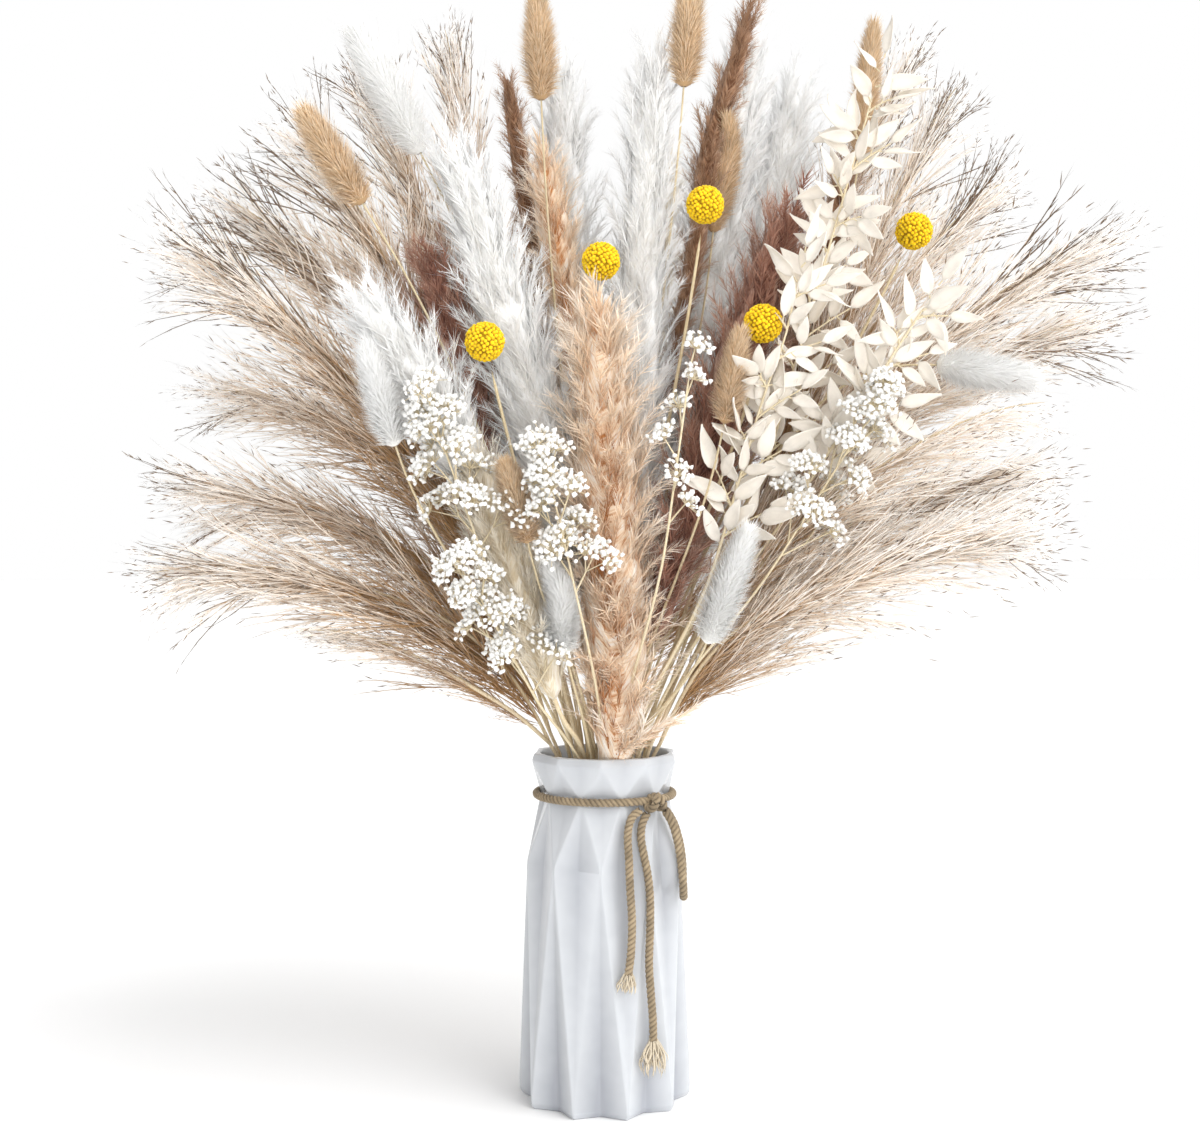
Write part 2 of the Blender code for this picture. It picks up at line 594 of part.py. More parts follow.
def place_spike(room, owner, root, way, length, thick):
    """The apex of a spike, shortened until it clears its neighbours, or None where it can't."""
    for share in (1.0, 0.8, 0.62, 0.46, 0.32):
        apex = root + way * length * share
        starts, ends, radii = spike_parts(root, apex, thick)
        own = [owner, SPIKE_OWNER + owner]
        if room.clear(starts, ends, radii, own) and room.clear(starts[1:], ends[1:], radii[1:], [owner]):
            room.add(starts[1:], ends[1:], radii[1:], SPIKE_OWNER + owner)
            room.add(starts[:1], ends[:1], radii[:1], owner)
            return apex
    return None


def along_line(line, marks):
    """Places and headings at distances along a line."""
    along = np.concatenate([[0], np.cumsum(np.linalg.norm(np.diff(line, axis=0), axis=1))])
    places = np.column_stack([np.interp(marks, along, line[:, k]) for k in range(3)])
    ahead = np.gradient(line, axis=0)
    headings = np.column_stack([np.interp(marks, along, ahead[:, k]) for k in range(3)])
    return places, headings / np.linalg.norm(headings, axis=1, keepdims=True)


def sweep(bm, face, places, headings, radii, sides, turns):
    """Grows a face along a line ring by ring, and returns the last face and every ring's walls."""
    across = np.array([1.0, 0.0, 0.0])
    if abs(headings[0] @ across) > 0.9:
        across = np.array([0.0, 1.0, 0.0])
    walls = []
    for place, ahead, radius, turn in zip(places, headings, radii, turns):
        across = unit(across - ahead * (across @ ahead))
        face = grow(bm, face, ring_round(place, ahead, across, radius, sides, turn))
        walls.append(sides_of(face))
    return face, walls


def begin_stalk(line, kind):
    """A new bmesh with the flat end that a stalk grows from."""
    bm = bmesh.new()
    sides, radius = KINDS[kind]["sides"], KINDS[kind]["stalk"] * MM
    verts = bmesh.ops.create_circle(bm, cap_ends=True, segments=sides, radius=radius)["verts"]
    corners = ring_round(line[0], np.array([0, 0, 1.0]), np.array([1.0, 0, 0]), radius, sides)
    for vert, corner in zip(verts, corners):
        vert.co = corner
    face = next(iter(bm.faces))
    face.normal_update()
    if face.normal.z < 0:
        face.normal_flip()
    return bm, face


def head_marks(line, kind):
    """Distances along a line of its stalk's rings and of its head's rings."""
    along = np.concatenate([[0], np.cumsum(np.linalg.norm(np.diff(line, axis=0), axis=1))])
    foot = along[IN_VASE + IN_STALK - 1]
    step = KINDS[kind]["step"] * MM
    rings = max(3, round((along[-1] - foot) / step))
    return along, foot + (along[-1] - foot) * np.arange(rings) / rings


def plume_outline(share, kind):
    """How long the spikes are along a head, as a share of the longest."""
    if kind == "bunny":
        return 1.0
    swell = min(1.0, 0.5 + 2.4 * share)
    return swell * (1 - 0.72 * share**2.6)


def make_head(bm, face, line, row, room, owner, pieces):
    """A plume, panicle or bunny tail: a core ringed with spikes drawn out of its own faces."""
    name, kind, _, _, width, _ = row
    form = KINDS[kind]
    draw = random.Random(name)
    along, marks = head_marks(line, kind)
    places, headings = along_line(line, marks)
    shares = (marks - marks[0]) / (along[-1] - marks[0])
    if kind == "bunny":
        radii = form["core"] * width * MM * np.sqrt(np.clip(1 - (1.9 * shares - 0.85) ** 2, 0.1, 1))
    else:
        radii = form["core"] * MM * (1 - 0.55 * shares)
    turns = math.radians(form["turn"]) * np.arange(1, len(marks) + 1)
    face, walls = sweep(bm, face, places, headings, radii, form["sides"], turns)
    lean = math.radians(form["lean"])
    longest = (width * (1 - form["core"]) if kind == "bunny" else width) * MM / math.sin(lean)
    for k, ring in enumerate(walls[1:]):
        middle, ahead = (places[k] + places[k + 1]) / 2, headings[k + 1]
        for wall in ring:
            root = np.array(wall.calc_center_median())
            out = root - middle
            out = unit(out - ahead * (out @ ahead))
            tilt = lean * (1.0 - 0.35 * shares[k + 1]) + math.radians(draw.uniform(-2.5, 2.5))
            way = ahead * math.cos(tilt) + out * math.sin(tilt)
            length = longest * plume_outline(shares[k + 1], kind) * draw.uniform(0.82, 1.06)
            thick = {"reed": 1.3, "bunny": 2.4}.get(kind, 1.9) * MM
            apex = place_spike(room, owner, root, way, length, thick)
            if apex is not None:
                pieces.append((Vector(root), [point_at(bm, wall, apex)]))
    point_at(bm, face, line[-1])


def needed(line, first, last):
    """The samples between two that a straight run would miss by more than half a millimetre."""
    if last - first < 2:
        return []
    run = unit(line[last] - line[first])
    away = line[first + 1 : last] - line[first]
    off = np.linalg.norm(away - (away @ run)[:, None] * run, axis=1)
    worst = int(off.argmax())
    if off[worst] < 0.5 * MM:
        return []
    middle = first + 1 + worst
    return needed(line, first, middle) + [middle] + needed(line, middle, last)


def headings_of(line):
    """The way ahead at each sample of a line."""
    ahead = np.gradient(line, axis=0)
    return ahead / np.linalg.norm(ahead, axis=1, keepdims=True)


def stalk_rings(line, kind, first=IN_VASE - 1, extra=()):
    """Where the bare part of a stalk needs its rings, below the foot of the head."""
    foot = IN_VASE + IN_STALK - 1
    marks = sorted({first, *extra, foot})
    picked = [sample for a, b in zip(marks, marks[1:]) for sample in [a, *needed(line, a, b)]]
    places, headings = line[picked], headings_of(line)[picked]
    if kind == "bunny":
        places = np.vstack([places, line[foot] - headings_of(line)[foot] * 1.6 * MM])
        headings = np.vstack([headings, headings_of(line)[foot]])
    return picked, places, headings, np.full(len(places), KINDS[kind]["stalk"] * MM)


def clear_crossings(bm, pieces):
    """Draws in each spike, leaf or bud of a body that runs into another part of it."""
    piece_of = {vert: k for k, (_, verts) in enumerate(pieces) for vert in verts}
    for _ in range(12):
        bm.faces.ensure_lookup_table()
        tree = BVHTree.FromBMesh(bm, epsilon=0.0)
        crossed = set()
        for a, b in tree.overlap(tree):
            first, second = bm.faces[a].verts, bm.faces[b].verts
            if a < b and not set(first) & set(second):
                crossed |= {piece_of[vert] for vert in (*first, *second) if vert in piece_of}
        if not crossed:
            return
        for k in crossed:
            root, verts = pieces[k]
            for vert in verts:
                vert.co = root.lerp(vert.co, 0.75)


def make_grass(rows, lines, room, first):
    """One grass: its stalk and head, and for a forked reed its second culm grown from the first."""
    kind, pieces = rows[0][1], []
    sides = KINDS[kind]["sides"]
    bm, face = begin_stalk(lines[0], kind)
    forked = (FORK, FORK + 1) if len(rows) > 1 else ()
    picked, places, headings, radii = stalk_rings(lines[0], kind, extra=forked)
    face, walls = sweep(bm, face, places, headings, radii, sides, np.zeros(len(radii)))
    if forked:
        fork = walls[picked.index(FORK + 1)]
        away = Vector(lines[1][FORK + 3] - lines[0][FORK + 3])
        for wall in fork:
            wall.normal_update()
        side = max(fork, key=lambda wall: wall.normal.dot(away))
        _, places, headings, radii = stalk_rings(lines[1], kind, FORK + 2)
        side, _ = sweep(bm, side, places, headings, radii, sides, np.zeros(len(radii)))
        make_head(bm, side, lines[1], rows[1], room, first + 1, pieces)
    make_head(bm, face, lines[0], rows[0], room, first, pieces)
    clear_crossings(bm, pieces)
    finish_mesh(bm, rows[0][0], rows[0][5])


def make_ball(row, line):
    """A billy ball: a stalk, and on its end a ball whose every face is a raised floret."""
    bm, face = begin_stalk(line, "ball")
    top = Vector(line[-1])
    _, places, headings, radii = stalk_rings(line, "ball")
    heading = unit(line[-1] - places[-1])
    places = np.vstack([places, line[-1] - heading * (BALL_RADIUS + GAP)])
    headings = np.vstack([headings, heading])
    sweep(bm, face, places, headings, np.full(len(places), radii[0]), 4, np.zeros(len(places)))
    finish_mesh(bm, row[0] + "_stem", "cream")
    bm = bmesh.new()
    bmesh.ops.create_icosphere(bm, subdivisions=2, radius=BALL_RADIUS * 0.9)
    tips = []
    for face in list(bm.faces):
        tips.append(point_at(bm, face, face.calc_center_median().normalized() * BALL_RADIUS))
    turn = tips[0].co.rotation_difference(Vector(-heading)).to_matrix()
    bmesh.ops.rotate(bm, verts=bm.verts, cent=(0, 0, 0), matrix=turn)
    bmesh.ops.translate(bm, verts=bm.verts, vec=top)
    finish_mesh(bm, row[0], "yellow")


def make_leaf(bm, wall, root, way, flat, length):
    """A thin pointed leaf grown from a wall of its stem. Returns its corners."""
    side, verts = np.cross(way, flat), []
    bow = flat * length * 0.12
    for share, wide, lift in ((0.14, 0.16, 0.0), (0.42, 1.0, 0.8), (0.72, 0.7, 0.9)):
        place = root + way * length * share + bow * lift
        half = (LEAF_WIDTH / 2 * wide * math.sqrt(2), LEAF_THICKNESS / 2 * math.sqrt(2))
        wall = grow(bm, wall, ring_round(place, way, side, half, 4))
        verts += [loop.vert for loop in wall.loops]
    return verts + [point_at(bm, wall, root + way * length)]


def short_nodes(line, kind, node):
    """Rings in close pairs up a head, so that what grows between a pair starts from a small face."""
    along, marks = head_marks(line, kind)
    marks = np.sort(np.concatenate([marks + 1.5 * MM, marks + 1.5 * MM + node]))
    places, headings = along_line(line, marks)
    return places, headings, (marks - marks[0]) / (along[-1] - marks[0])


def room_for(room, owner, starts, ends, radii):
    """Takes the room for a leaf or twig of a plant, where the rest of it and all others leave it free."""
    own = [owner, SPIKE_OWNER + owner]
    root_clear = room.clear(starts[:1], ends[:1], radii[:1], own)
    if root_clear and room.clear(starts[1:], ends[1:], radii[1:], [owner]):
        room.add(starts[1:], ends[1:], radii[1:], SPIKE_OWNER + owner)
        room.add(starts[:1], ends[:1], radii[:1], owner)
        return True
    return False


def make_ruscus(row, line, room, owner):
    """A leafy stem: short sections in turn, each drawn out to a pair of leaves."""
    bm, face = begin_stalk(line, "ruscus")
    _, places, headings, radii = stalk_rings(line, "ruscus")
    face, _ = sweep(bm, face, places, headings, radii, 4, np.zeros(len(radii)))
    draw, pieces = random.Random(row[0]), []
    places, headings, shares = short_nodes(line, "ruscus", 2.4 * MM)
    radii = KINDS["ruscus"]["stalk"] * MM * (1 - 0.3 * shares)
    face, walls = sweep(bm, face, places, headings, radii, 4, np.zeros(len(shares)))
    for k in range(1, len(shares), 2):
        ahead, middle = headings[k], (places[k] + places[k - 1]) / 2
        grown = 0
        for wall in sorted(walls[k], key=lambda near: abs(near.calc_center_median().y - middle[1])):
            root = np.array(wall.calc_center_median())
            out = unit(root - middle - ahead * ((root - middle) @ ahead))
            length = LEAF_LENGTH * (1.08 - 0.4 * shares[k]) * draw.uniform(0.88, 1.12)
            for lean in (60, 50, 70):
                way = unit(ahead * math.cos(math.radians(lean)) + out * math.sin(math.radians(lean)))
                front = np.array([draw.uniform(-0.4, 0.4), -1.0, draw.uniform(-0.1, 0.5)])
                flat = unit(np.cross(np.cross(way, front), way))
                marks = [root + way * length * share for share in (0.0, 0.22, 0.75, 1.0)]
                wide = np.array([0.12, 0.36, 0.24]) * LEAF_WIDTH
                if room_for(room, owner, np.array(marks[:-1]), np.array(marks[1:]), wide):
                    pieces.append((Vector(root), make_leaf(bm, wall, root, way, flat, length)))
                    grown += 1
                    break
            if grown == 2:
                break
    point_at(bm, face, line[-1])
    clear_crossings(bm, pieces)
    finish_mesh(bm, row[0], row[5])


def make_buds(bm, face, way, room, owner, draw, pieces):
    """Splits the end of a twig four ways, each a short twig that swells to a pointed bud."""
    middle = face.calc_center_median()
    tip = point_at(bm, face, middle + Vector(way) * 0.9 * MM)
    for wall in sorted(tip.link_faces, key=lambda near: near.calc_center_median().to_tuple()):
        root = np.array(wall.calc_center_median())
        out = root - np.array(middle)
        out = unit(out - way * (out @ way))
        tilt = math.radians(draw.uniform(34, 62))
        aim = way * math.cos(tilt) + out * math.sin(tilt)
        length = draw.uniform(6, 10) * MM
        neck, belly = root + aim * (length - 3 * MM), root + aim * length
        end = root + aim * (length + 2.4 * MM)
        marks = [root, root + aim * 2.2 * MM, neck, end]
        radii = np.array([0.7, 0.7, 2.1]) * MM
        if not room_for(room, owner, np.array(marks[:-1]), np.array(marks[1:]), radii):
            continue
        twig = grow(bm, wall, ring_like(wall, neck, aim, 0.6 * MM))
        verts = [loop.vert for loop in twig.loops]
        bud = grow(bm, twig, ring_like(twig, belly, aim, BUD_RADIUS))
        verts += [loop.vert for loop in bud.loops] + [point_at(bm, bud, end)]
        pieces.append((Vector(root), verts))


def make_breath(row, line, room, owner):
    """Baby's breath: branches up a stem, each ending in a fork of twigs with buds."""
    bm, face = begin_stalk(line, "breath")
    _, places, headings, radii = stalk_rings(line, "breath")
    face, _ = sweep(bm, face, places, headings, radii, 4, np.zeros(len(radii)))
    draw, pieces = random.Random(row[0]), []
    places, headings, shares = short_nodes(line, "breath", 1.6 * MM)
    face, walls = sweep(bm, face, places, headings, np.full(len(shares), 0.8 * MM), 4, np.zeros(len(shares)))
    for k in range(1, len(shares), 2):
        ahead, middle = headings[k], (places[k] + places[k - 1]) / 2
        wall = walls[k][(k // 2) % 4]
        root = np.array(wall.calc_center_median())
        out = unit(root - middle - ahead * ((root - middle) @ ahead))
        for lean in (50, 38, 62, 28):
            tilt = math.radians(lean + draw.uniform(-6, 6))
            way = ahead * math.cos(tilt) + out * math.sin(tilt)
            length = row[4] * MM * draw.uniform(0.75, 1.15) * (1 - 0.35 * shares[k])
            marks = [root, root + way * 3 * MM, root + way * length]
            if room_for(room, owner, np.array(marks[:-1]), np.array(marks[1:]), np.full(2, 0.8 * MM)):
                end = grow(bm, wall, ring_like(wall, marks[2], way, 0.8 * MM))
                make_buds(bm, end, way, room, owner, draw, pieces)
                break
    make_buds(bm, face, headings[-1], room, owner, draw, pieces)
    clear_crossings(bm, pieces)
    finish_mesh(bm, row[0], row[5])


def make_plants():
    """All plants: the ones that need the most room first, then the spikes that fit round them."""
    lines, radii = lay_out()
    room = Room(lines, radii)
    index = {row[0]: k for k, row in enumerate(PLANTS)}
    makers = {"ball": lambda row, k: make_ball(row, lines[k])}
    makers["ruscus"] = lambda row, k: make_ruscus(row, lines[k], room, k)
    makers["breath"] = lambda row, k: make_breath(row, lines[k], room, k)
    for kind in ("ball", "ruscus", "breath"):
        for row in PLANTS:
            if row[1] == kind:
                makers[kind](row, index[row[0]])
    for row in PLANTS:
        name, kind = row[0], row[1]
        if kind in makers or name.endswith("+"):
            continue
        k = index[name]
        rows = [row] + ([PLANTS[k + 1]] if name + "+" in index else [])
        make_grass(rows, lines[k : k + len(rows)], room, k)


def main():
    for old in list(bpy.data.objects):
        bpy.data.objects.remove(old)
    make_vase()
    make_tie()
    make_plants()


main()
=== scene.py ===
"""The looks of a pleated ceramic vase with a jute tie, holding a fan of dried pampas, reed grass, bunny
tails, billy balls, baby's breath and bleached ruscus. Metres, +Z up, front towards -Y."""

import math
import random

import bmesh
import bpy
import numpy as np
from bpy.props import FloatProperty, FloatVectorProperty, IntProperty, PointerProperty
from mathutils import Matrix, Vector


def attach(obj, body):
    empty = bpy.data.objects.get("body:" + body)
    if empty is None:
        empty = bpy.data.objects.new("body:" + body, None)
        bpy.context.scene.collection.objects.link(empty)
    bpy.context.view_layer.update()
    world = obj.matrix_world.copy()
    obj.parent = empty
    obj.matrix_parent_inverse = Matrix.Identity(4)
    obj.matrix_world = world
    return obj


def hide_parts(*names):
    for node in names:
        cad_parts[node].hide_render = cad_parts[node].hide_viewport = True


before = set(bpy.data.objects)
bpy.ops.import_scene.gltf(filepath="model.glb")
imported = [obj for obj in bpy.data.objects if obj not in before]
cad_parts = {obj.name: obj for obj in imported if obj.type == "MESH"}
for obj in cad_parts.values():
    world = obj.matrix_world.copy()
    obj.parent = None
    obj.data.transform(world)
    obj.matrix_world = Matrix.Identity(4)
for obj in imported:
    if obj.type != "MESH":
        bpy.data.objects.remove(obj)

bl_info = {
    "name": "Dried Pampas Bouquet",
    "version": (1, 0, 0),
    "blender": (4, 5, 0),
    "location": "View3D > Sidebar > Bouquet",
    "description": "Dresses a vase of dried pampas grass: glaze, jute, plumes, panicles, buds and leaves",
    "category": "Object",
}

MM = 0.001
GOLDEN_ANGLE = math.radians(137.508)

# Vase, as in the solid: height, radius on the front pleat line, radius half a pleat round, and how the
# band below is folded
PLEATS = 10
PLEAT_START = math.radians(-93)
VASE_HEIGHT = 190 * MM
FLOOR_THICKNESS = 8 * MM
VASE_OUTSIDE = [
    (0.0, 38.8, 44.8, None),
    (3.0, 40.2, 46.8, "square"),
    (131.0, 43.2, 39.6, "peak above"),
    (167.0, 33.4, 34.6, "peak below"),
    (186.0, 40.4, 39.2, "peak above"),
    (190.0, 39.0, 38.0, "square"),
]
VASE_INSIDE = [(190.0, 35.6), (186.0, 34.6), (167.0, 31.2), (131.0, 34.8), (8.0, 36.8)]
MOUTH_RADIUS = 29.0 * MM
# The glazed wall's ridges stand this far further out than the solid's, and its valleys further in
FOLD_EXTRA = 0.7

# Jute tie, as in the solid
ROPE_DIAMETER = 4.6 * MM
TIE_HEIGHT = 167 * MM
TIE_RADIUS = 37.45 * MM
KNOT_ANGLE = math.radians(-49)
KNOT_RADIUS = 41.05 * MM
WRAP_RADIUS = 3.5 * MM
TAIL_SHORT = [
    (18.6, 162.4), (14.4, 159.2), (12.2, 151), (12.8, 137), (13.3, 123), (14.3, 106), (13.8, 90), (12.4, 78),
]
TAIL_LONG = [
    (22.4, 160.5), (19.9, 155.6), (19.2, 149), (20.4, 141), (22.8, 129), (24.0, 115), (23.8, 98), (23.4, 82),
    (24.4, 66), (25.4, 53), (25.6, 42),
]
LOOP = [
    (32.3, -30.8, 161.6), (36.0, -33.4, 155.5), (38.7, -35.8, 146), (40.4, -37.5, 136), (41.4, -38.3, 125.5),
    (41.8, -36.4, 119.7), (42.1, -31.6, 116.1), (42.3, -25.6, 116.1), (42.4, -20.8, 119.7),
    (42.4, -18.9, 125.5), (41.7, -19.0, 136), (39.8, -20.4, 146), (36.6, -23.2, 155.5), (32.6, -26.4, 161.8),
]
# Points of each cord's route are this far apart
ROUTE_STEP = 5 * MM

# Stalk and head radii in mm by kind, as in the solids
STALKS = {"plume": 1.3, "slim": 1.2, "reed": 1.1, "bunny": 0.9, "ball": 1.2, "breath": 0.9, "ruscus": 1.0}
CORES = {"plume": 2.0, "slim": 1.8, "reed": 1.2, "bunny": 0.68}
BALL_RADIUS = 10.8 * MM

# Name, kind, foot of the head and its tip in mm, half width in mm, colour. A second culm of a reed
# follows its first, under the same name with "+"
PLANTS = [
    ("ball_left", "ball", (-54, -75, 378), (-60, -85, 405), 0, "cream"),
    ("ball_low_mid", "ball", (-3, -47, 422), (-2, -55, 450), 0, "cream"),
    ("ball_high", "ball", (48, -46, 452), (52, -50, 480), 0, "cream"),
    ("ball_right", "ball", (76, -68, 388), (83, -75, 415), 0, "cream"),
    ("ball_far_right", "ball", (153, -22, 446), (165, -25, 471), 0, "cream"),
    ("ruscus_tall", "ruscus", (84, -50, 345), (142, -66, 552), 12, "ivory"),
    ("ruscus_mid", "ruscus", (58, -66, 300), (100, -82, 450), 12, "ivory"),
    ("ruscus_right", "ruscus", (104, -66, 335), (165, -92, 432), 12, "ivory"),
    ("breath_left_high", "breath", (-62, -82, 300), (-84, -104, 366), 26, "white"),
    ("breath_mid", "breath", (-14, -92, 278), (-28, -108, 340), 24, "white"),
    ("breath_left_low", "breath", (-36, -66, 226), (-66, -100, 286), 26, "white"),
    ("breath_right", "breath", (88, -70, 296), (134, -92, 372), 28, "white"),
    ("breath_sprig", "breath", (31, -100, 312), (42, -112, 396), 14, "white"),
    ("bunny_tan_left", "bunny", (-125, -60, 480), (-155, -66, 526), 11, "tan"),
    ("bunny_tan_top", "bunny", (-34, -22, 543), (-36, -24, 598), 10, "tan"),
    ("bunny_tan_peak", "bunny", (42, -30, 548), (46, -32, 604), 10, "tan"),
    ("bunny_tan_behind", "bunny", (60, 5, 478), (66, 8, 542), 9.5, "tan"),
    ("bunny_tan_low", "bunny", (60, -82, 366), (68, -86, 412), 8.5, "tan"),
    ("bunny_tan_right", "bunny", (142, 15, 520), (151, 20, 598), 9, "tan"),
    ("bunny_tan_small", "bunny", (-38, -90, 306), (-50, -96, 346), 9, "tan"),
    ("bunny_white_high", "bunny", (-98, -36, 512), (-134, -40, 578), 13, "white"),
    ("bunny_white_left", "bunny", (-104, -95, 354), (-118, -100, 402), 10, "white"),
    ("bunny_white_mid", "bunny", (-20, -74, 250), (-29, -84, 296), 9.5, "white"),
    ("bunny_white_right", "bunny", (172, -60, 396), (222, -65, 388), 11.5, "white"),
    ("bunny_white_low", "bunny", (52, -78, 256), (72, -95, 314), 10.5, "white"),
    ("pampas_apricot", "plume", (8, -27, 192), (-4, -84, 424), 25, "apricot"),
    ("pampas_apricot_high", "slim", (-16, -6, 390), (-34, 4, 522), 13, "apricot"),
    ("pampas_white_left", "plume", (-14, -34, 290), (-82, -46, 517), 25, "white"),
    ("pampas_white_mid", "plume", (14, -22, 285), (26, -18, 568), 21, "white"),
    ("pampas_white_back", "plume", (-16, 24, 360), (-26, 62, 588), 21, "white"),
    ("pampas_white_tall", "plume", (48, 26, 380), (86, 54, 597), 23, "white"),
    ("pampas_white_far", "plume", (72, 52, 370), (118, 92, 586), 23, "white"),
    ("pampas_white_small", "slim", (-62, -62, 330), (-126, -84, 432), 19, "white"),
    ("pampas_cream", "plume", (-26, -58, 224), (-72, -74, 358), 20, "cream"),
    ("pampas_brown_left", "slim", (-38, 24, 455), (-56, 30, 572), 9, "brown"),
    ("pampas_brown_tall", "slim", (48, 0, 455), (82, 15, 607), 11, "brown"),
    ("pampas_mauve_left", "slim", (-68, -24, 372), (-95, -30, 462), 15, "mauve"),
    ("pampas_mauve_right", "plume", (36, -40, 290), (102, -34, 488), 20, "mauve"),
    ("pampas_brown_right", "plume", (108, 20, 395), (141, 40, 528), 16, "brown"),
    ("pampas_cream_rear", "plume", (14, 66, 340), (36, 122, 545), 22, "cream"),
    ("reed_left_low", "reed", (-92, -40, 268), (-247, -60, 285), 34, "straw"),
    ("reed_left_low+", "reed", (-74, -46, 232), (-168, -52, 258), 9, "straw"),
    ("reed_left_mid", "reed", (-102, 0, 297), (-250, 0, 330), 40, "straw"),
    ("reed_left_mid+", "reed", (-116, 42, 352), (-245, 55, 392), 36, "straw"),
    ("reed_left_high", "reed", (-116, -20, 370), (-242, -30, 467), 38, "straw"),
    ("reed_left_high+", "reed", (-120, 52, 410), (-240, 78, 514), 36, "straw"),
    ("reed_left_top", "reed", (-100, 0, 418), (-180, 0, 547), 36, "straw"),
    ("reed_left_top+", "reed", (-88, 62, 448), (-154, 90, 596), 34, "straw"),
    ("reed_top", "reed", (-68, 40, 452), (-95, 52, 612), 26, "straw"),
    ("reed_top+", "reed", (-40, 92, 380), (-62, 176, 486), 36, "straw"),
    ("reed_right_low", "reed", (82, -50, 268), (240, -62, 305), 36, "straw"),
    ("reed_right_low+", "reed", (106, 10, 297), (262, 10, 342), 38, "straw"),
    ("reed_right_mid", "reed", (116, -60, 326), (232, -84, 375), 32, "straw"),
    ("reed_right_mid+", "reed", (144, 20, 365), (300, 25, 430), 34, "straw"),
    ("reed_right_high", "reed", (142, -20, 384), (290, -28, 466), 34, "straw"),
    ("reed_right_high+", "reed", (150, 62, 420), (250, 88, 526), 32, "straw"),
    ("reed_right_top", "reed", (138, 0, 442), (200, 0, 562), 30, "straw"),
    ("reed_right_top+", "reed", (128, 52, 472), (190, 74, 606), 26, "straw"),
    ("reed_rear", "reed", (-84, 84, 320), (-168, 168, 410), 38, "straw"),
    ("reed_rear+", "reed", (88, 86, 310), (170, 160, 400), 38, "straw"),
]

# Samples of each stalk's line, as in the solids: in the vase, from the mouth to the head, and along the
# head. A second culm leaves the first at the fork
IN_VASE, IN_STALK, IN_HEAD = 4, 9, 12
FORK = IN_VASE
HEAD_FOOT = IN_VASE + IN_STALK - 1
# Height of the stalks' feet, and the room left round each stalk and each head
STAND = FLOOR_THICKNESS + 0.3 * MM
STALK_ROOM = 0.9 * MM
HEAD_ROOM = 2.6 * MM

# Marks on each plant's points: along a hair, out along its branch, how pale its place in the head makes
# it, and its own shade
MARKS = ("tip", "reach", "rise", "tone")
X_WAY, Y_WAY, Z_WAY = np.eye(3)


# Colours and materials

def linear(hex_colour):
    """An sRGB hex colour as linear red, green and blue."""
    parts = [int(hex_colour[k : k + 2], 16) / 255 for k in (1, 3, 5)]
    return tuple(p / 12.92 if p <= 0.04045 else ((p + 0.055) / 1.055) ** 2.4 for p in parts)


def add_node(tree, kind, inputs=None, stops=None, **settings):
    """Adds a shader node. Each input is a value or a node's output, and stops are a ramp's colours."""
    made = tree.nodes.new("ShaderNode" + kind)
    for name, value in settings.items():
        setattr(made, name, value)
    for socket, value in (inputs or {}).items():
        if isinstance(value, bpy.types.NodeSocket):
            tree.links.new(value, made.inputs[socket])
        else:
            made.inputs[socket].default_value = value
    if stops:
        elements = made.color_ramp.elements
        while len(elements) < len(stops):
            elements.new(1.0)
        for element, (place, colour) in zip(elements, stops):
            element.position = place
            element.color = (*colour, 1)
    return made


def new_material(name, roughness, **constants):
    """A Principled material with its constant sockets set, and its node tree and shader."""
    made = bpy.data.materials.new(name)
    made.use_nodes = True
    shader = made.node_tree.nodes["Principled BSDF"]
    shader.inputs["Roughness"].default_value = roughness
    for socket, value in constants.items():
        shader.inputs[socket.replace("_", " ")].default_value = value
    return made, made.node_tree, shader


def shaded(colour, share):
    """A linear colour made darker or lighter."""
    return tuple(min(1.0, part * share) for part in colour)


def read_mark(tree, mark):
    """What the points carry under a mark."""
    return add_node(tree, "Attribute", attribute_name=mark).outputs["Fac"]


def object_place(tree):
    """The place on the object, in metres."""
    return add_node(tree, "TexCoord").outputs["Object"]


def noise(tree, where, scale, detail=2.0, roughness=0.5):
    """Noise with about as many grains to a metre as its scale."""
    inputs = {"Vector": where, "Scale": scale, "Detail": detail, "Roughness": roughness}
    return add_node(tree, "TexNoise", inputs).outputs["Fac"]


def times_plus(tree, value, factor, extra):
    """A value times a factor, plus an extra."""
    return add_node(tree, "Math", {0: value, 1: factor, 2: extra}, operation="MULTIPLY_ADD").outputs[0]


def mapped(tree, value, low, high, from_low=0.0, from_high=1.0):
    """A value's range stretched to another."""
    limits = {"From Min": from_low, "From Max": from_high, "To Min": low, "To Max": high}
    return add_node(tree, "MapRange", {"Value": value, **limits}).outputs[0]


def ramp(tree, value, *stops):
    """A colour by a value, from stops of a place and a colour."""
    return add_node(tree, "ValToRGB", {"Fac": value}, stops).outputs["Color"]


def coat(tree, shader, colour, height, strength, depth):
    """Gives the shader its colour and its relief of a depth."""
    bump = add_node(tree, "Bump", {"Height": height, "Strength": strength, "Distance": depth})
    tree.links.new(colour, shader.inputs["Base Color"])
    tree.links.new(bump.outputs[0], shader.inputs["Normal"])


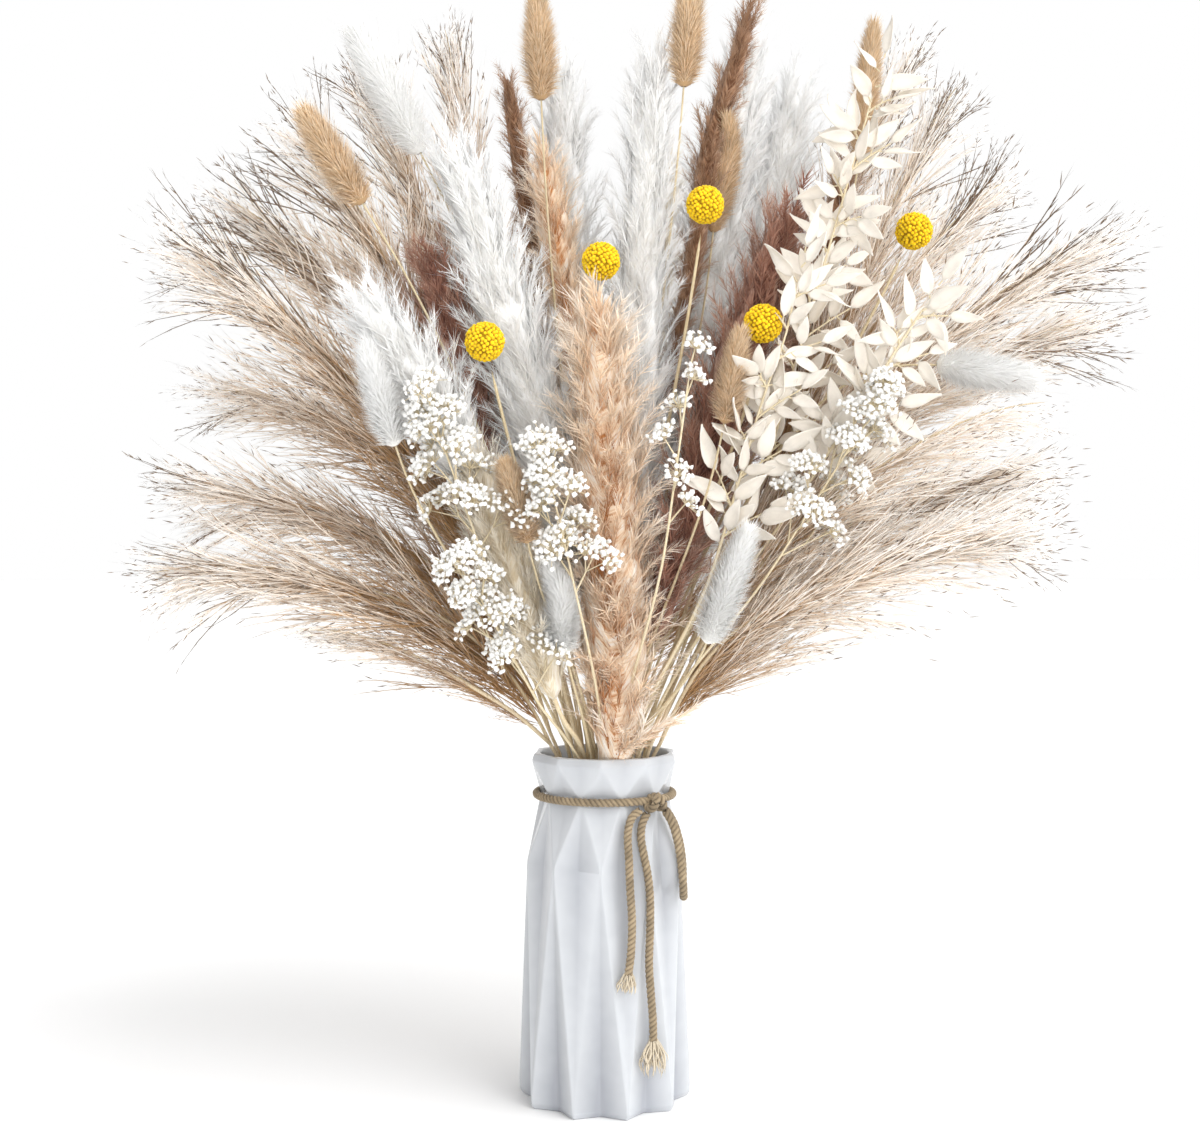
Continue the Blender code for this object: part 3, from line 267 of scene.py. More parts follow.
def packed_down(name, root, body, ends):
    """Down packed round a plume's stalk: hairs combed outwards from a parting at the front and the back,
    so that they meet there in chevrons, and lie in tufts about 4 mm wide."""
    made, tree, shader = new_material(
        name, 0.9, Sheen_Weight=0.25, Sheen_Roughness=0.5, Specular_IOR_Level=0.2
    )
    # On this down, "tip" is metres round from the front and "rise" is metres along
    round_ = read_mark(tree, "tip")
    spot = add_node(tree, "CombineXYZ", {"X": round_, "Y": read_mark(tree, "rise")}).outputs[0]
    combed = add_node(tree, "Mapping", {"Vector": spot, "Rotation": (0, 0, math.radians(35))}).outputs[0]
    layers = []
    # Tufts 4 mm wide and 12 mm long, then hairs drawn 0.9 mm wide and 9 mm long
    for wide, long in ((4 * MM, 12 * MM), (0.9 * MM, 9 * MM)):
        drawn = add_node(tree, "VectorMath", {0: combed, 1: (1 / wide, 1 / long, 1.0)}, operation="MULTIPLY")
        layers.append(noise(tree, drawn.outputs[0], 1.0))
    mixed = times_plus(tree, layers[0], 1.1, layers[1])
    # Deepest in colour over the stalk, at the parting
    shade = times_plus(tree, mixed, 0.5, mapped(tree, round_, -0.16, 0.02, from_high=9 * MM))
    coat(tree, shader, ramp(tree, shade, (0.36, root), (0.5, body), (0.66, ends)), mixed, 0.8, 1.2 * MM)
    return made


def plant_fibre(
    name, root, body, ends, patch=14 * MM, roughness=0.85, sheen=0.25, light=(0.72, 1.22), outer=0.0
):
    """Fine dried plant hairs: dull, a little silky at grazing light. They are deepest in colour by the
    stalk and pale at their ends, and hair by hair and patch by patch a little darker or lighter. Outer
    is how much paler their place in the head makes them."""
    made, tree, shader = new_material(
        name, roughness, Sheen_Weight=sheen, Sheen_Roughness=0.5, Specular_IOR_Level=0.25
    )
    tip, reach, rise, tone = (read_mark(tree, mark) for mark in MARKS)
    outward = times_plus(tree, reach, 0.62, times_plus(tree, tip, 0.38, 0.0))
    outward = times_plus(tree, rise, outer, outward)
    hue = ramp(tree, outward, (0.06, root), (0.46, body), (0.92, ends))
    where = object_place(tree)
    uneven = times_plus(tree, noise(tree, where, 1 / patch, 3.0), 1.0, tone)
    level = mapped(tree, uneven, *light, 0.25, 1.75)
    mixed = add_node(tree, "VectorMath", {0: hue, "Scale": level}, operation="SCALE").outputs[0]
    # Hairs about 0.7 mm apart
    coat(tree, shader, mixed, noise(tree, where, 1 / (0.7 * MM)), 0.6, 0.5 * MM)
    return made


def dried_stem(name, pale, deep):
    """Dried grass culm: smooth, straw-like, with fine streaks along it and a slight gloss."""
    made, tree, shader = new_material(name, 0.62)
    # Streaks 0.4 mm wide and about 15 mm long
    drawn = add_node(tree, "Mapping", {"Vector": object_place(tree), "Scale": (2500.0, 2500.0, 65.0)})
    streaks = noise(tree, drawn.outputs[0], 1.0, 3.0)
    coat(tree, shader, ramp(tree, streaks, (0.3, linear(deep)), (0.68, linear(pale))), streaks, 0.3, 0.2 * MM)
    return made


# Points along lines, and copies placed by matrices

def unit(vector):
    """A vector's way, one long."""
    return vector / np.linalg.norm(vector)


def beside(way, turn=0.0):
    """A way square to another, a turn round it."""
    side = X_WAY if abs(way[0]) < 0.8 else Y_WAY
    side = unit(side - way * (side @ way))
    return side * math.cos(turn) + np.cross(way, side) * math.sin(turn)


def leant(ahead, out, angle):
    """The way ahead, leant outwards by an angle."""
    return ahead * math.cos(angle) + out * math.sin(angle)


def smooth_route(points, spacing):
    """Points at an even spacing along a smooth curve through the given ones."""
    points = np.array(points, float)
    ends = np.vstack([2 * points[0] - points[1], points, 2 * points[-1] - points[-2]])
    dense = []
    for i in range(1, len(ends) - 2):
        a, b, c, d = ends[i - 1 : i + 3]
        slope, bow, swing = c - a, 2 * a - 5 * b + 4 * c - d, 3 * b - 3 * c + d - a
        for t in np.linspace(0, 1, 12, endpoint=False):
            dense.append(0.5 * (2 * b + slope * t + bow * t**2 + swing * t**3))
    dense.append(points[-1])
    return evenly(np.array(dense), spacing)


def evenly(points, spacing):
    """The same line with its points at an even spacing."""
    along = np.concatenate([[0], np.cumsum(np.linalg.norm(np.diff(points, axis=0), axis=1))])
    marks = np.linspace(0, along[-1], max(2, round(along[-1] / spacing) + 1))
    return np.column_stack([np.interp(marks, along, points[:, k]) for k in range(3)])


def frames_along(points):
    """Across, other and ahead at each point of a line, carried along it without twisting."""
    ahead = np.gradient(points, axis=0)
    ahead /= np.linalg.norm(ahead, axis=1, keepdims=True)
    across = beside(ahead[0])
    frames = []
    for way in ahead:
        across = unit(across - way * (across @ way))
        frames.append((across, np.cross(way, across), way))
    return frames


def matrix_of(place, across, other, ahead, *sizes):
    """A matrix that puts a unit shape at a place, with its own X, Y and Z along three ways. One size
    given is for all three."""
    sizes = sizes * 3 if len(sizes) == 1 else sizes
    columns = [way * size for way, size in zip((across, other, ahead), sizes)] + [place]
    return Matrix([[column[row] for column in columns] for row in range(3)] + [[0, 0, 0, 1]])


def aimed(place, way, roll, wide, long):
    """A matrix that puts a unit shape at a place with its Z along a way, turned about it by a roll."""
    way = unit(way)
    across = beside(way, roll)
    return matrix_of(place, across, np.cross(way, across), way, wide, wide, long)


def facing(place, way, face, wide, long):
    """A matrix that puts a hair at a place along a way, with its flat side towards another way."""
    other = unit(face - way * (face @ way))
    return matrix_of(place, np.cross(other, way), other, way, wide, wide, long)


def new_form():
    """An empty bmesh whose points carry the marks."""
    bm = bmesh.new()
    for mark in MARKS:
        bm.verts.layers.float.new(mark)
    return bm


def to_template(bm, name, closed=True):
    """A bmesh as a mesh to copy from. A closed one is turned outwards."""
    if closed:
        bmesh.ops.recalc_face_normals(bm, faces=bm.faces)
    mesh = bpy.data.meshes.new(name)
    bm.to_mesh(mesh)
    bm.free()
    return mesh


def join_form(bm, form):
    """Joins a closed bmesh to another one."""
    mesh = to_template(form, "form")
    bm.from_mesh(mesh)
    bpy.data.meshes.remove(mesh)


def give_slot(bm, slot):
    """Gives every face a material slot."""
    for face in bm.faces:
        face.material_index = slot


def add_copy(bm, template, matrix, **marks):
    """Joins a copy of a mesh, placed by a matrix, with some marks set all over it."""
    for mark, value in marks.items():
        values = template.attributes[mark].data
        values.foreach_set("value", np.full(len(values), value, np.float32))
    template.transform(matrix)
    bm.from_mesh(template)
    template.transform(matrix.inverted())


def grow_tube(
    bm, points, radii, sides, pointed=True, tip=(0, 0), reach=(0, 0), rise=(0, 0), tone=0.5, slot=0
):
    """Extrudes a ring along a line. A pointed one closes on the line's last point."""
    spans = {"tip": tip, "reach": reach, "rise": rise, "tone": (tone, tone)}
    rings = [
        matrix_of(place, *way, max(radius, 1e-6))
        for place, way, radius in zip(points, frames_along(points), radii)
    ]
    count = len(points) - 1 if pointed else len(points)

    def mark_ring(verts, share):
        for mark, (low, high) in spans.items():
            layer = bm.verts.layers.float[mark]
            for vert in verts:
                vert[layer] = low + (high - low) * share

    verts = bmesh.ops.create_circle(bm, cap_ends=True, segments=sides, radius=1, matrix=rings[0])["verts"]
    mark_ring(verts, 0)
    face = verts[0].link_faces[0]
    for k in range(1, count):
        face = bmesh.ops.extrude_discrete_faces(bm, faces=[face])["faces"][0]
        bmesh.ops.transform(bm, matrix=rings[k] @ rings[k - 1].inverted(), verts=face.verts[:])
        mark_ring(face.verts, k / (len(points) - 1))
    if pointed:
        apex = bmesh.ops.poke(bm, faces=[face])["verts"]
        apex[0].co = Vector(points[-1])
        mark_ring(apex, 1)
    if slot:
        give_slot(bm, slot)


def join_tube(bm, *args, **settings):
    """Grows a tube on its own and joins it."""
    tube = new_form()
    grow_tube(tube, *args, **settings)
    join_form(bm, tube)


def join_thread(bm, points, *radii, sides=4):
    """Joins a thin stem whose thickness is given in mm at each point."""
    join_tube(bm, np.array(points), np.array(radii) * MM, sides, pointed=False)


def finished(bm, name, materials, replaced):
    """Makes a bmesh a smooth-shaded piece of the object, in place of its solids."""
    mesh = bpy.data.meshes.new(name)
    bm.to_mesh(mesh)
    bm.free()
    for made in materials:
        mesh.materials.append(made)
    mesh.shade_smooth()
    piece = bpy.data.objects.new(name, mesh)
    bpy.context.scene.collection.objects.link(piece)
    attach(piece, "root")
    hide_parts(*replaced)
    return piece


# Stalk lines, found as in the solids

def mouth_places(rows):
    """Where each stalk crosses the vase's mouth: outer plants near the rim, pushed apart evenly."""
    centre = np.array([0, 0, VASE_HEIGHT])
    flattest, spacing = math.radians(72), 5.6 * MM
    places = []
    for _, _, foot, tip, _, _ in rows:
        way = (np.array(foot) + np.array(tip)) / 2 * MM - centre
        lean = math.atan2(math.hypot(way[0], way[1]), way[2])
        share = min(1.0, lean / flattest) ** 0.85
        places.append(unit(way[:2]) * share * MOUTH_RADIUS)
    places = np.array(places)
    for _ in range(400):
        apart = places[:, None] - places[None]
        distance = np.linalg.norm(apart, axis=2) + np.eye(len(places))
        push = np.clip(spacing - distance, 0, None)[..., None] * apart / distance[..., None]
        places = places + 0.3 * push.sum(axis=1)
        reach = np.linalg.norm(places, axis=1, keepdims=True)
        places = places * np.minimum(1, MOUTH_RADIUS / reach)
    return places


def hermite(a, b, go, arrive, count):
    """Points after a up to b on a cubic that leaves along go and arrives along arrive."""
    t = (np.arange(count) + 1)[:, None] / count
    return (
        (2 * t**3 - 3 * t**2 + 1) * a
        + (t**3 - 2 * t**2 + t) * go
        + (3 * t**2 - 2 * t**3) * b
        + (t**3 - t**2) * arrive
    )


def stalk_line(mouth, foot, tip, kind):
    """One stalk's samples, from the vase's floor to the tip of its head."""
    foot, tip = np.array(foot) * MM, np.array(tip) * MM
    low = np.array([*(mouth * 0.9), STAND])
    neck = np.array([*mouth, VASE_HEIGHT - 6 * MM])
    inside = low + (neck - low) * np.linspace(0, 1, IN_VASE)[:, None]
    head = tip - foot
    droop = {"reed": 0.45, "plume": 0.12, "slim": 0.12}.get(kind, 0.0) * np.linalg.norm(head)
    arrive = head - np.array([0, 0, droop])
    begin = head + np.array([0, 0, 0.7 * droop])
    span = np.linalg.norm(foot - neck)
    go = unit(unit(foot - neck) + np.array([0, 0, 0.8])) * span
    stalk = hermite(neck, foot, go, unit(begin) * span, IN_STALK)
    return np.vstack([inside, stalk, hermite(foot, tip, begin, arrive, IN_HEAD)])


def closest(p0, p1, q0, q1):
    """Shortest vectors from segments p to segments q, and how far along each they start."""
    d, e, r = p1 - p0, q1 - q0, p0 - q0
    a, b, c = (d * d).sum(-1), (d * e).sum(-1), (e * e).sum(-1)
    f, g = (d * r).sum(-1), (e * r).sum(-1)
    slack = a * c - b * b
    tiny = 1e-14
    s = np.clip(np.where(slack > tiny, (b * g - c * f) / np.maximum(slack, tiny), 0), 0, 1)
    t = np.clip((b * s + g) / np.maximum(c, tiny), 0, 1)
    s = np.clip((b * t - f) / np.maximum(a, tiny), 0, 1)
    return (q0 + t[..., None] * e) - (p0 + s[..., None] * d), s, t


def sample_radii(kind, width):
    """Radius of the solid round each sample of a stalk's line, heads included."""
    radii = np.full(IN_VASE + IN_STALK + IN_HEAD, STALKS[kind] * MM)
    head = np.linspace(0, 1, IN_HEAD)
    if kind == "bunny":
        radii[-IN_HEAD:] = CORES[kind] * width * MM * np.sin(np.pi * (0.15 + 0.8 * head))
    elif kind == "ball":
        radii[-3:] = BALL_RADIUS
    elif kind in CORES:
        radii[-IN_HEAD:] = CORES[kind] * MM
    return radii


def untangle(lines, radii, owners):
    """Pushes stalks and heads apart, mostly in depth, until none touches another."""
    count, samples, _ = lines.shape
    line_of = np.repeat(np.arange(count), samples - 1)
    at = np.tile(np.arange(samples - 1), count)
    room = np.where(np.arange(samples) < IN_VASE + 2, STALK_ROOM, HEAD_ROOM)
    thick = (radii[:, :-1] + radii[:, 1:]) / 2 + (room[:-1] + room[1:]) / 4
    thick = thick.reshape(-1)
    first, second = np.triu_indices(len(line_of), 1)
    apart_above = (line_of[first] != line_of[second]) & (at[first] > FORK + 2) & (at[second] > FORK + 2)
    other = (owners[line_of[first]] != owners[line_of[second]]) | apart_above
    first, second = first[other], second[other]
    softness = np.array([0.5, 1.0, 0.35])
    depth = lines[:, -1, 1]
    for _ in range(160):
        starts, ends = lines[:, :-1].reshape(-1, 3), lines[:, 1:].reshape(-1, 3)
        middles, halves = (starts + ends) / 2, np.linalg.norm(ends - starts, axis=1) / 2
        apart = np.linalg.norm(middles[first] - middles[second], axis=1)
        near = apart < halves[first] + halves[second] + thick[first] + thick[second]
        i, j = first[near], second[near]
        offset, s, t = closest(starts[i], ends[i], starts[j], ends[j])
        behind = np.sign(depth[line_of[j]] - depth[line_of[i]] + 1e-9)
        offset[:, 1] += 0.3 * MM * behind
        distance = np.linalg.norm(offset, axis=1)
        need = thick[i] + thick[j]
        bad = distance < need
        if not bad.any():
            break
        i, j, s, t = i[bad], j[bad], s[bad], t[bad]
        way = offset[bad] / np.maximum(distance[bad], 1e-6)[:, None]
        shift = way * (need[bad] - distance[bad])[:, None] * softness
        push, hits = np.zeros_like(lines), np.full((count, samples, 1), 1e-9)
        for index, along, sign in ((i, s, -1), (j, t, 1)):
            for end, share in ((0, 1 - along), (1, along)):
                where = (line_of[index], at[index] + end)
                np.add.at(push, where, sign * shift * share[:, None])
                np.add.at(hits, where, share[:, None])
        push = push / np.maximum(hits, 1)
        for _ in range(2):
            push[:, 1:-1] = (push[:, :-2] + 2 * push[:, 1:-1] + push[:, 2:]) / 4
        lines = lines + 0.9 * push
        lines[:, 0, 2] = STAND
        inside = lines[:, :IN_VASE, :2]
        reach = np.linalg.norm(inside, axis=2, keepdims=True)
        lines[:, :IN_VASE, :2] = inside * np.minimum(1, MOUTH_RADIUS / reach)
        straight = (lines[:, IN_VASE - 1, 2] - STAND)[:, None, None]
        rise = (lines[:, :IN_VASE] - lines[:, :1])[..., 2:] / straight
        lines[:, :IN_VASE] = lines[:, :1] + rise * (lines[:, IN_VASE - 1] - lines[:, 0])[:, None]
        for k in range(1, count):
            if owners[k] == owners[k - 1]:
                lines[k, : FORK + 2] = lines[k - 1, : FORK + 2]
    return lines


def lay_out():
    """The line of every culm by name, clear of all the others."""
    mains = [row for row in PLANTS if not row[0].endswith("+")]
    mouths = dict(zip([row[0] for row in mains], mouth_places(mains)))
    names = [row[0] for row in PLANTS]
    owners = np.array([names.index(name.rstrip("+")) for name in names])
    lines = np.array([stalk_line(mouths[row[0].rstrip("+")], row[2], row[3], row[1]) for row in PLANTS])
    radii = np.array([sample_radii(row[1], row[4]) for row in PLANTS])
    return dict(zip(names, untangle(lines, radii, owners)))


LINES = lay_out()


def rows_of(*kinds):
    """The plants of some kinds, each with its second culm, where it has one."""
    rows = {row[0]: row for row in PLANTS}
    for row in PLANTS:
        if row[1] in kinds and not row[0].endswith("+"):
            yield [rows[name] for name in (row[0], row[0] + "+") if name in rows]


class HeadLine:
    """The line of one head, read at shares of its length. Below 0 it is on the stalk, and past 1 it
    runs straight on."""

    def __init__(self, name):
        below = IN_STALK - 1
        self.points = LINES[name][HEAD_FOOT - below :]
        self.frames = np.array(frames_along(self.points))
        along = np.concatenate([[0], np.cumsum(np.linalg.norm(np.diff(self.points, axis=0), axis=1))])
        self.length = float(along[-1] - along[below])
        self.shares = (along - along[below]) / self.length

    def at(self, share):
        """Place, across, other and ahead at a share of the length."""
        index = float(np.interp(share, self.shares, np.arange(len(self.shares))))
        k = min(int(index), len(self.points) - 2)
        part = index - k
        across, other, ahead = self.frames[k] * (1 - part) + self.frames[k + 1] * part
        place = self.points[k] * (1 - part) + self.points[k + 1] * part
        place = place + ahead * max(0.0, share - 1) * self.length
        return place, unit(across), unit(other), unit(ahead)

    def outward(self, share, turn):
        """Place, way out and way ahead at a share of the length, a turn round the line."""
        place, across, other, ahead = self.at(share)
        return place, across * math.cos(turn) + other * math.sin(turn), ahead


def join_stalk(bm, name, kind, through_head=1.0, thin=0.35):
    """A stalk from the vase's floor up through its head, thinner towards the tip. A second culm leaves
    the first at the vase's mouth."""
    samples = np.arange(HEAD_FOOT + 1 + max(1, round((IN_HEAD - 1) * through_head)))
    if name.endswith("+"):
        samples = samples[(samples == FORK) | (samples > FORK + 2)]
    line = LINES[name][samples]
    radii = STALKS[kind] * MM * (1 - (1 - thin) * np.clip((samples - HEAD_FOOT) / IN_HEAD, 0, 1))
    route = smooth_route(line, 9 * MM)
    radii = np.interp(np.linspace(0, 1, len(route)), np.linspace(0, 1, len(line)), radii)
    join_tube(bm, route, radii, 6)


# Hairs and side branches that are copied many times

def bent_line(bend, count, wobble, draw):
    """Points of a line of unit length that starts and ends on Z and bows away from X."""
    leans = np.radians(np.linspace(-bend / 2, bend / 2, count - 1))
    steps = np.column_stack([np.sin(leans), np.zeros(count - 1), np.cos(leans)])
    steps[:, 1] += [draw.uniform(-wobble, wobble) for _ in range(count - 1)]
    points = np.vstack([[0, 0, 0], np.cumsum(steps, axis=0)])
    turn = np.array(Vector(points[-1]).rotation_difference(Vector((0, 0, 1))).to_matrix())
    return points @ turn.T / np.linalg.norm(points[-1])


def straight_hair():
    """A hair of unit length and width: one narrow face towards Y that ends in a point."""
    bm = new_form()
    root = [bm.verts.new((across, 0, 0)) for across in (-0.5, 0.5)]
    end = bm.verts.new((0, 0, 1))
    face = bmesh.ops.contextual_create(bm, geom=[*root, end])["faces"][0]
    face.normal_update()
    if face.normal.y < 0:
        face.normal_flip()
    end[bm.verts.layers.float["tip"]] = 1.0
    return to_template(bm, "straight hair", closed=False)


def point_on(points, share):
    """A place on a line and the way ahead there, for a share of the line's points."""
    at = share * (len(points) - 1)
    k = min(int(at), len(points) - 2)
    step = points[k + 1] - points[k]
    return points[k] + step * (at - k), unit(step)


def splayed(way, draw, low, high):
    """A way turned aside by an angle between two, to a random side."""
    tilt, turn = math.radians(draw.uniform(low, high)), draw.uniform(0, math.tau)
    return leant(way, beside(way, turn), tilt)


def plume_lock(draw, hair, hairs, bend, down, hair_length, hair_width, splay):
    """One side branch of a plume, of unit length: a soft spindle of down with fine hairs all round."""
    bm = new_form()
    points = bent_line(bend, 5, 0.16, draw)
    swell = np.array([0.5, 1.0, 0.95, 0.5, 0.0]) * down
    grow_tube(bm, points, swell, 3, reach=(0, 1), tip=(0.1, 0.8), tone=draw.random())
    bmesh.ops.recalc_face_normals(bm, faces=bm.faces)
    for k in range(hairs):
        share = (k + draw.random()) / hairs
        place, way = point_on(points, 0.05 + 0.94 * share)
        length = hair_length * draw.uniform(0.65, 1.25) * (1.0 - 0.3 * share)
        outward = np.array([1.0, draw.uniform(-0.6, 0.6), 0])
        matrix = facing(place, splayed(way, draw, *splay), outward, hair_width, length)
        add_copy(bm, hair, matrix, reach=share, tone=draw.random())
    give_slot(bm, 1)
    return to_template(bm, "plume lock", closed=False)


def reed_branch(draw, hair, husk, threads, hairs, husks, wiry=False):
    """One side branch of a reed panicle, of unit length: fine threads that part from a woolly one, with
    silky hairs, and small dark spikelets towards their ends. A wiry one's threads are dark themselves."""
    bm = new_form()
    points = bent_line(draw.uniform(6, 30), 7, 0.08, draw)
    radii = [0.003, 0.0045, 0.0045, 0.004, 0.003, 0.002, 0.001]
    grow_tube(bm, points, radii, 3, reach=(0, 0.9), tip=(0.1, 0.6), tone=draw.random())
    lines = [points]
    for k in range(threads):
        share = 0.62 * (k + draw.random()) / threads
        place, way = point_on(points, share)
        way = splayed(way, draw, 6, 19)
        reach = (1 - share) * draw.uniform(0.6, 1.0)
        line = bent_line(draw.uniform(-14, 14), 4, 0.1, draw) * reach
        turn = np.array(Vector((0, 0, 1)).rotation_difference(Vector(way)).to_matrix())
        line = place + line @ turn.T
        ends = (0.1, 0.45) if wiry else (0.2, 0.9)
        radii = [0.0025, 0.0038, 0.003, 0]
        grow_tube(bm, line, radii, 3, reach=(share, 0.95), tip=ends, tone=draw.random())
        lines.append(line)
    bmesh.ops.recalc_face_normals(bm, faces=bm.faces)
    give_slot(bm, 2 if wiry else 1)
    for k in range(hairs):
        share = ((k + draw.random()) / hairs) ** 1.25
        place, way = point_on(draw.choice(lines), 0.03 + 0.85 * share)
        length = draw.uniform(0.10, 0.18) * (1 - 0.25 * share)
        outward = np.array([1.0, draw.uniform(-0.9, 0.9), 0])
        matrix = facing(place, splayed(way, draw, 6, 26), outward, 0.0046, length)
        add_copy(bm, hair, matrix, reach=share, tone=draw.random())
    for face in bm.faces:
        face.material_index = max(1, face.material_index)
    for k in range(husks):
        place, way = point_on(lines[k % len(lines)], draw.uniform(0.55, 0.99))
        own = splayed(way, draw, 8, 28)
        outward = np.array([1.0, draw.uniform(-1, 1), 0])
        matrix = facing(place, own, outward, 0.0072, draw.uniform(0.05, 0.075))
        add_copy(bm, husk, matrix, reach=draw.uniform(0.2, 1.0), tone=draw.random())
    return to_template(bm, "reed branch", closed=False)


def spikelet():
    """A reed's spikelet of unit length and width: a slim pointed husk."""
    bm = new_form()
    places = ((0, 0, 0), (0.5, 0.12, 0.4), (0, 0, 1), (-0.5, 0.12, 0.4))
    outline = [bm.verts.new(place) for place in places]
    bmesh.ops.contextual_create(bm, geom=outline)
    give_slot(bm, 2)
    outline[2][bm.verts.layers.float["tip"]] = 1.0
    return to_template(bm, "spikelet", closed=False)


# Settings

def colour_setting(label, hex_colour, words):
    """A colour that a user may change."""
    return FloatVectorProperty(
        name=label, description=words, subtype="COLOR", size=3, min=0, max=1, default=linear(hex_colour)
    )


def length_setting(label, default, words):
    """A length that a user may change, in metres."""
    return FloatProperty(name=label, description=words, unit="LENGTH", min=0, precision=5, default=default)


def count_setting(label, default, words):
    """A number of pieces that a user may change."""
    return IntProperty(name=label, description=words, min=8, default=default)


class VaseSettings(bpy.types.PropertyGroup):
    glaze: colour_setting("Glaze", "#C6C9CD", "Colour of the glossy white glaze")
    # The recess colour is painted shade: it darkens the glaze in the folds and inside the vase
    painted_recess_shade: colour_setting("Recesses", "#A3A6AD", "Colour of the glaze where it lies thick in the folds")
    rounding: length_setting("Fold rounding", 2.9 * MM, "How far each fold's edge is rounded by the glaze")


class RopeSettings(bpy.types.PropertyGroup):
    jute: colour_setting("Jute", "#93836B", "Colour of the cord's raised fibres")
    # The groove colour is painted shade between the cord's strands
    painted_groove_shade: colour_setting("Grooves", "#392D1F", "Colour between the cord's strands")
    frayed: colour_setting("Frayed ends", "#D6C9B2", "Colour of the loose fibres at the cord's ends")
    pitch: length_setting("Twist length", 8.0 * MM, "Length of the cord in which its strands go round once")


class PampasSettings(bpy.types.PropertyGroup):
    locks: count_setting("Side branches", 205, "Side branches on each large plume")
    hair_width: length_setting("Hair width", 0.5 * MM, "Width of each hair at its root")


class ReedSettings(bpy.types.PropertyGroup):
    branches: count_setting("Side branches", 100, "Side branches on each reed panicle")
    husk: colour_setting("Husks", "#4A3A30", "Colour of the dark spikelets at the ends")


class BunnySettings(bpy.types.PropertyGroup):
    hairs: count_setting("Hairs", 3800, "Hairs on each bunny tail")


class BallSettings(bpy.types.PropertyGroup):
    yellow: colour_setting("Florets", "#FAC61E", "Colour of the billy balls' florets")
    florets: count_setting("Florets", 270, "Florets on each billy ball")


class BreathSettings(bpy.types.PropertyGroup):
    petals: colour_setting("Petals", "#FFFEFB", "Colour of the baby's breath flowers")
    flower_width: length_setting("Flower width", 2.8 * MM, "Width of each flower")


class RuscusSettings(bpy.types.PropertyGroup):
    leaf: colour_setting("Leaves", "#F2EBE0", "Colour of the bleached leaves")
    leaf_length: length_setting("Leaf length", 24 * MM, "Length of the lower leaves")


class StageSettings(bpy.types.PropertyGroup):
    floor: colour_setting("Floor", "#FAFAFA", "Colour of the plain floor")
    key_light: FloatProperty(name="Key light", description="Strength of the soft key light", default=1.34)


class BouquetSettings(bpy.types.PropertyGroup):
    vase: PointerProperty(type=VaseSettings)
    rope: PointerProperty(type=RopeSettings)
    pampas: PointerProperty(type=PampasSettings)
    reed: PointerProperty(type=ReedSettings)
    bunny: PointerProperty(type=BunnySettings)
    ball: PointerProperty(type=BallSettings)
    breath: PointerProperty(type=BreathSettings)
    ruscus: PointerProperty(type=RuscusSettings)
    stage: PointerProperty(type=StageSettings)


# Stage

class BOUQUET_OT_stage(bpy.types.Operator):
    """Sets up the camera, a plain pale floor and soft studio light"""

    bl_idname = "bouquet.stage"
    bl_label = "Set the Stage"

    def execute(self, context):
        settings = context.scene.bouquet.stage
        camera = bpy.data.objects.new("camera", bpy.data.cameras.new("camera"))
        # Level with the bouquet's lower half and tilted down by a degree, as the photo was taken
        camera.location = (-0.0025, -0.935, 0.3036)
        camera.rotation_euler = (math.radians(90 - 0.98), 0, 0)
        camera.data.lens = 51
        context.scene.collection.objects.link(camera)
        context.scene.camera = camera
        self.lay_floor(context, settings)
        self.light(context, settings)
        context.scene.view_settings.view_transform = "Standard"
        return {"FINISHED"}

    def lay_floor(self, context, settings):
        """A wide round floor."""
        bm = bmesh.new()
        bmesh.ops.create_circle(bm, cap_ends=True, cap_tris=True, segments=64, radius=14)
        mesh = bpy.data.meshes.new("floor")
        bm.to_mesh(mesh)
        bm.free()
        # Matt painted board: even, with a trace of unevenness
        made, tree, shader = new_material("matt_painted_board", 0.9)
        colour = Vector(settings.floor)
        uneven = ramp(tree, noise(tree, object_place(tree), 3.0), (0.0, colour * 0.985), (1.0, colour))
        tree.links.new(uneven, shader.inputs["Base Color"])
        mesh.materials.append(made)
        floor = bpy.data.objects.new("floor", mesh)
        context.scene.collection.objects.link(floor)

    def light(self, context, settings):
        """A soft key from the upper right, a fill from the front that lightens the shadows, two softboxes
        that the glaze mirrors, and a bright room."""
        world = bpy.data.worlds.new("studio")
        world.use_nodes = True
        tree = world.node_tree
        # The room is dimmer on the left than on the right, and shows as plain white behind the bouquet
        seen = add_node(tree, "LightPath").outputs["Is Camera Ray"]
        way = add_node(tree, "SeparateXYZ", {0: add_node(tree, "TexCoord").outputs["Generated"]}).outputs["X"]
        room = mapped(tree, way, 0.5, 1.3, from_low=-1.0)
        level = mapped(tree, seen, room, 1.0)
        tree.links.new(level, tree.nodes["Background"].inputs["Strength"])
        tree.nodes["Background"].inputs["Color"].default_value = (1, 1, 1, 1)
        context.scene.world = world
        sun = bpy.data.lights.new("key", "SUN")
        sun.energy = settings.key_light
        sun.angle = math.radians(40)
        self.hang(context, "key", sun, (5.0, -4.0, 9.4)).visible_glossy = False
        # Each with its place, its size in metres and its power in watts
        softboxes = (
            ("softbox_right", (1.3, -1.2, 1.0), 1.0, 2.5),
            ("softbox_left", (-1.4, -0.9, 0.9), 0.9, 0.8),
            ("fill", (0.5, -1.7, 0.35), 1.6, 13.0),
        )
        for name, place, size, power in softboxes:
            lamp = bpy.data.lights.new(name, "AREA")
            lamp.size = size
            lamp.energy = power
            self.hang(context, name, lamp, place).visible_glossy = name != "fill"

    def hang(self, context, name, lamp, place):
        """Places a lamp so that it shines on the bouquet's middle."""
        holder = bpy.data.objects.new(name, lamp)
        holder.location = place
        towards = Vector((0, 0, 0.25)) - Vector(place)
        holder.rotation_euler = towards.to_track_quat("-Z", "Y").to_euler()
        context.scene.collection.objects.link(holder)
        return holder


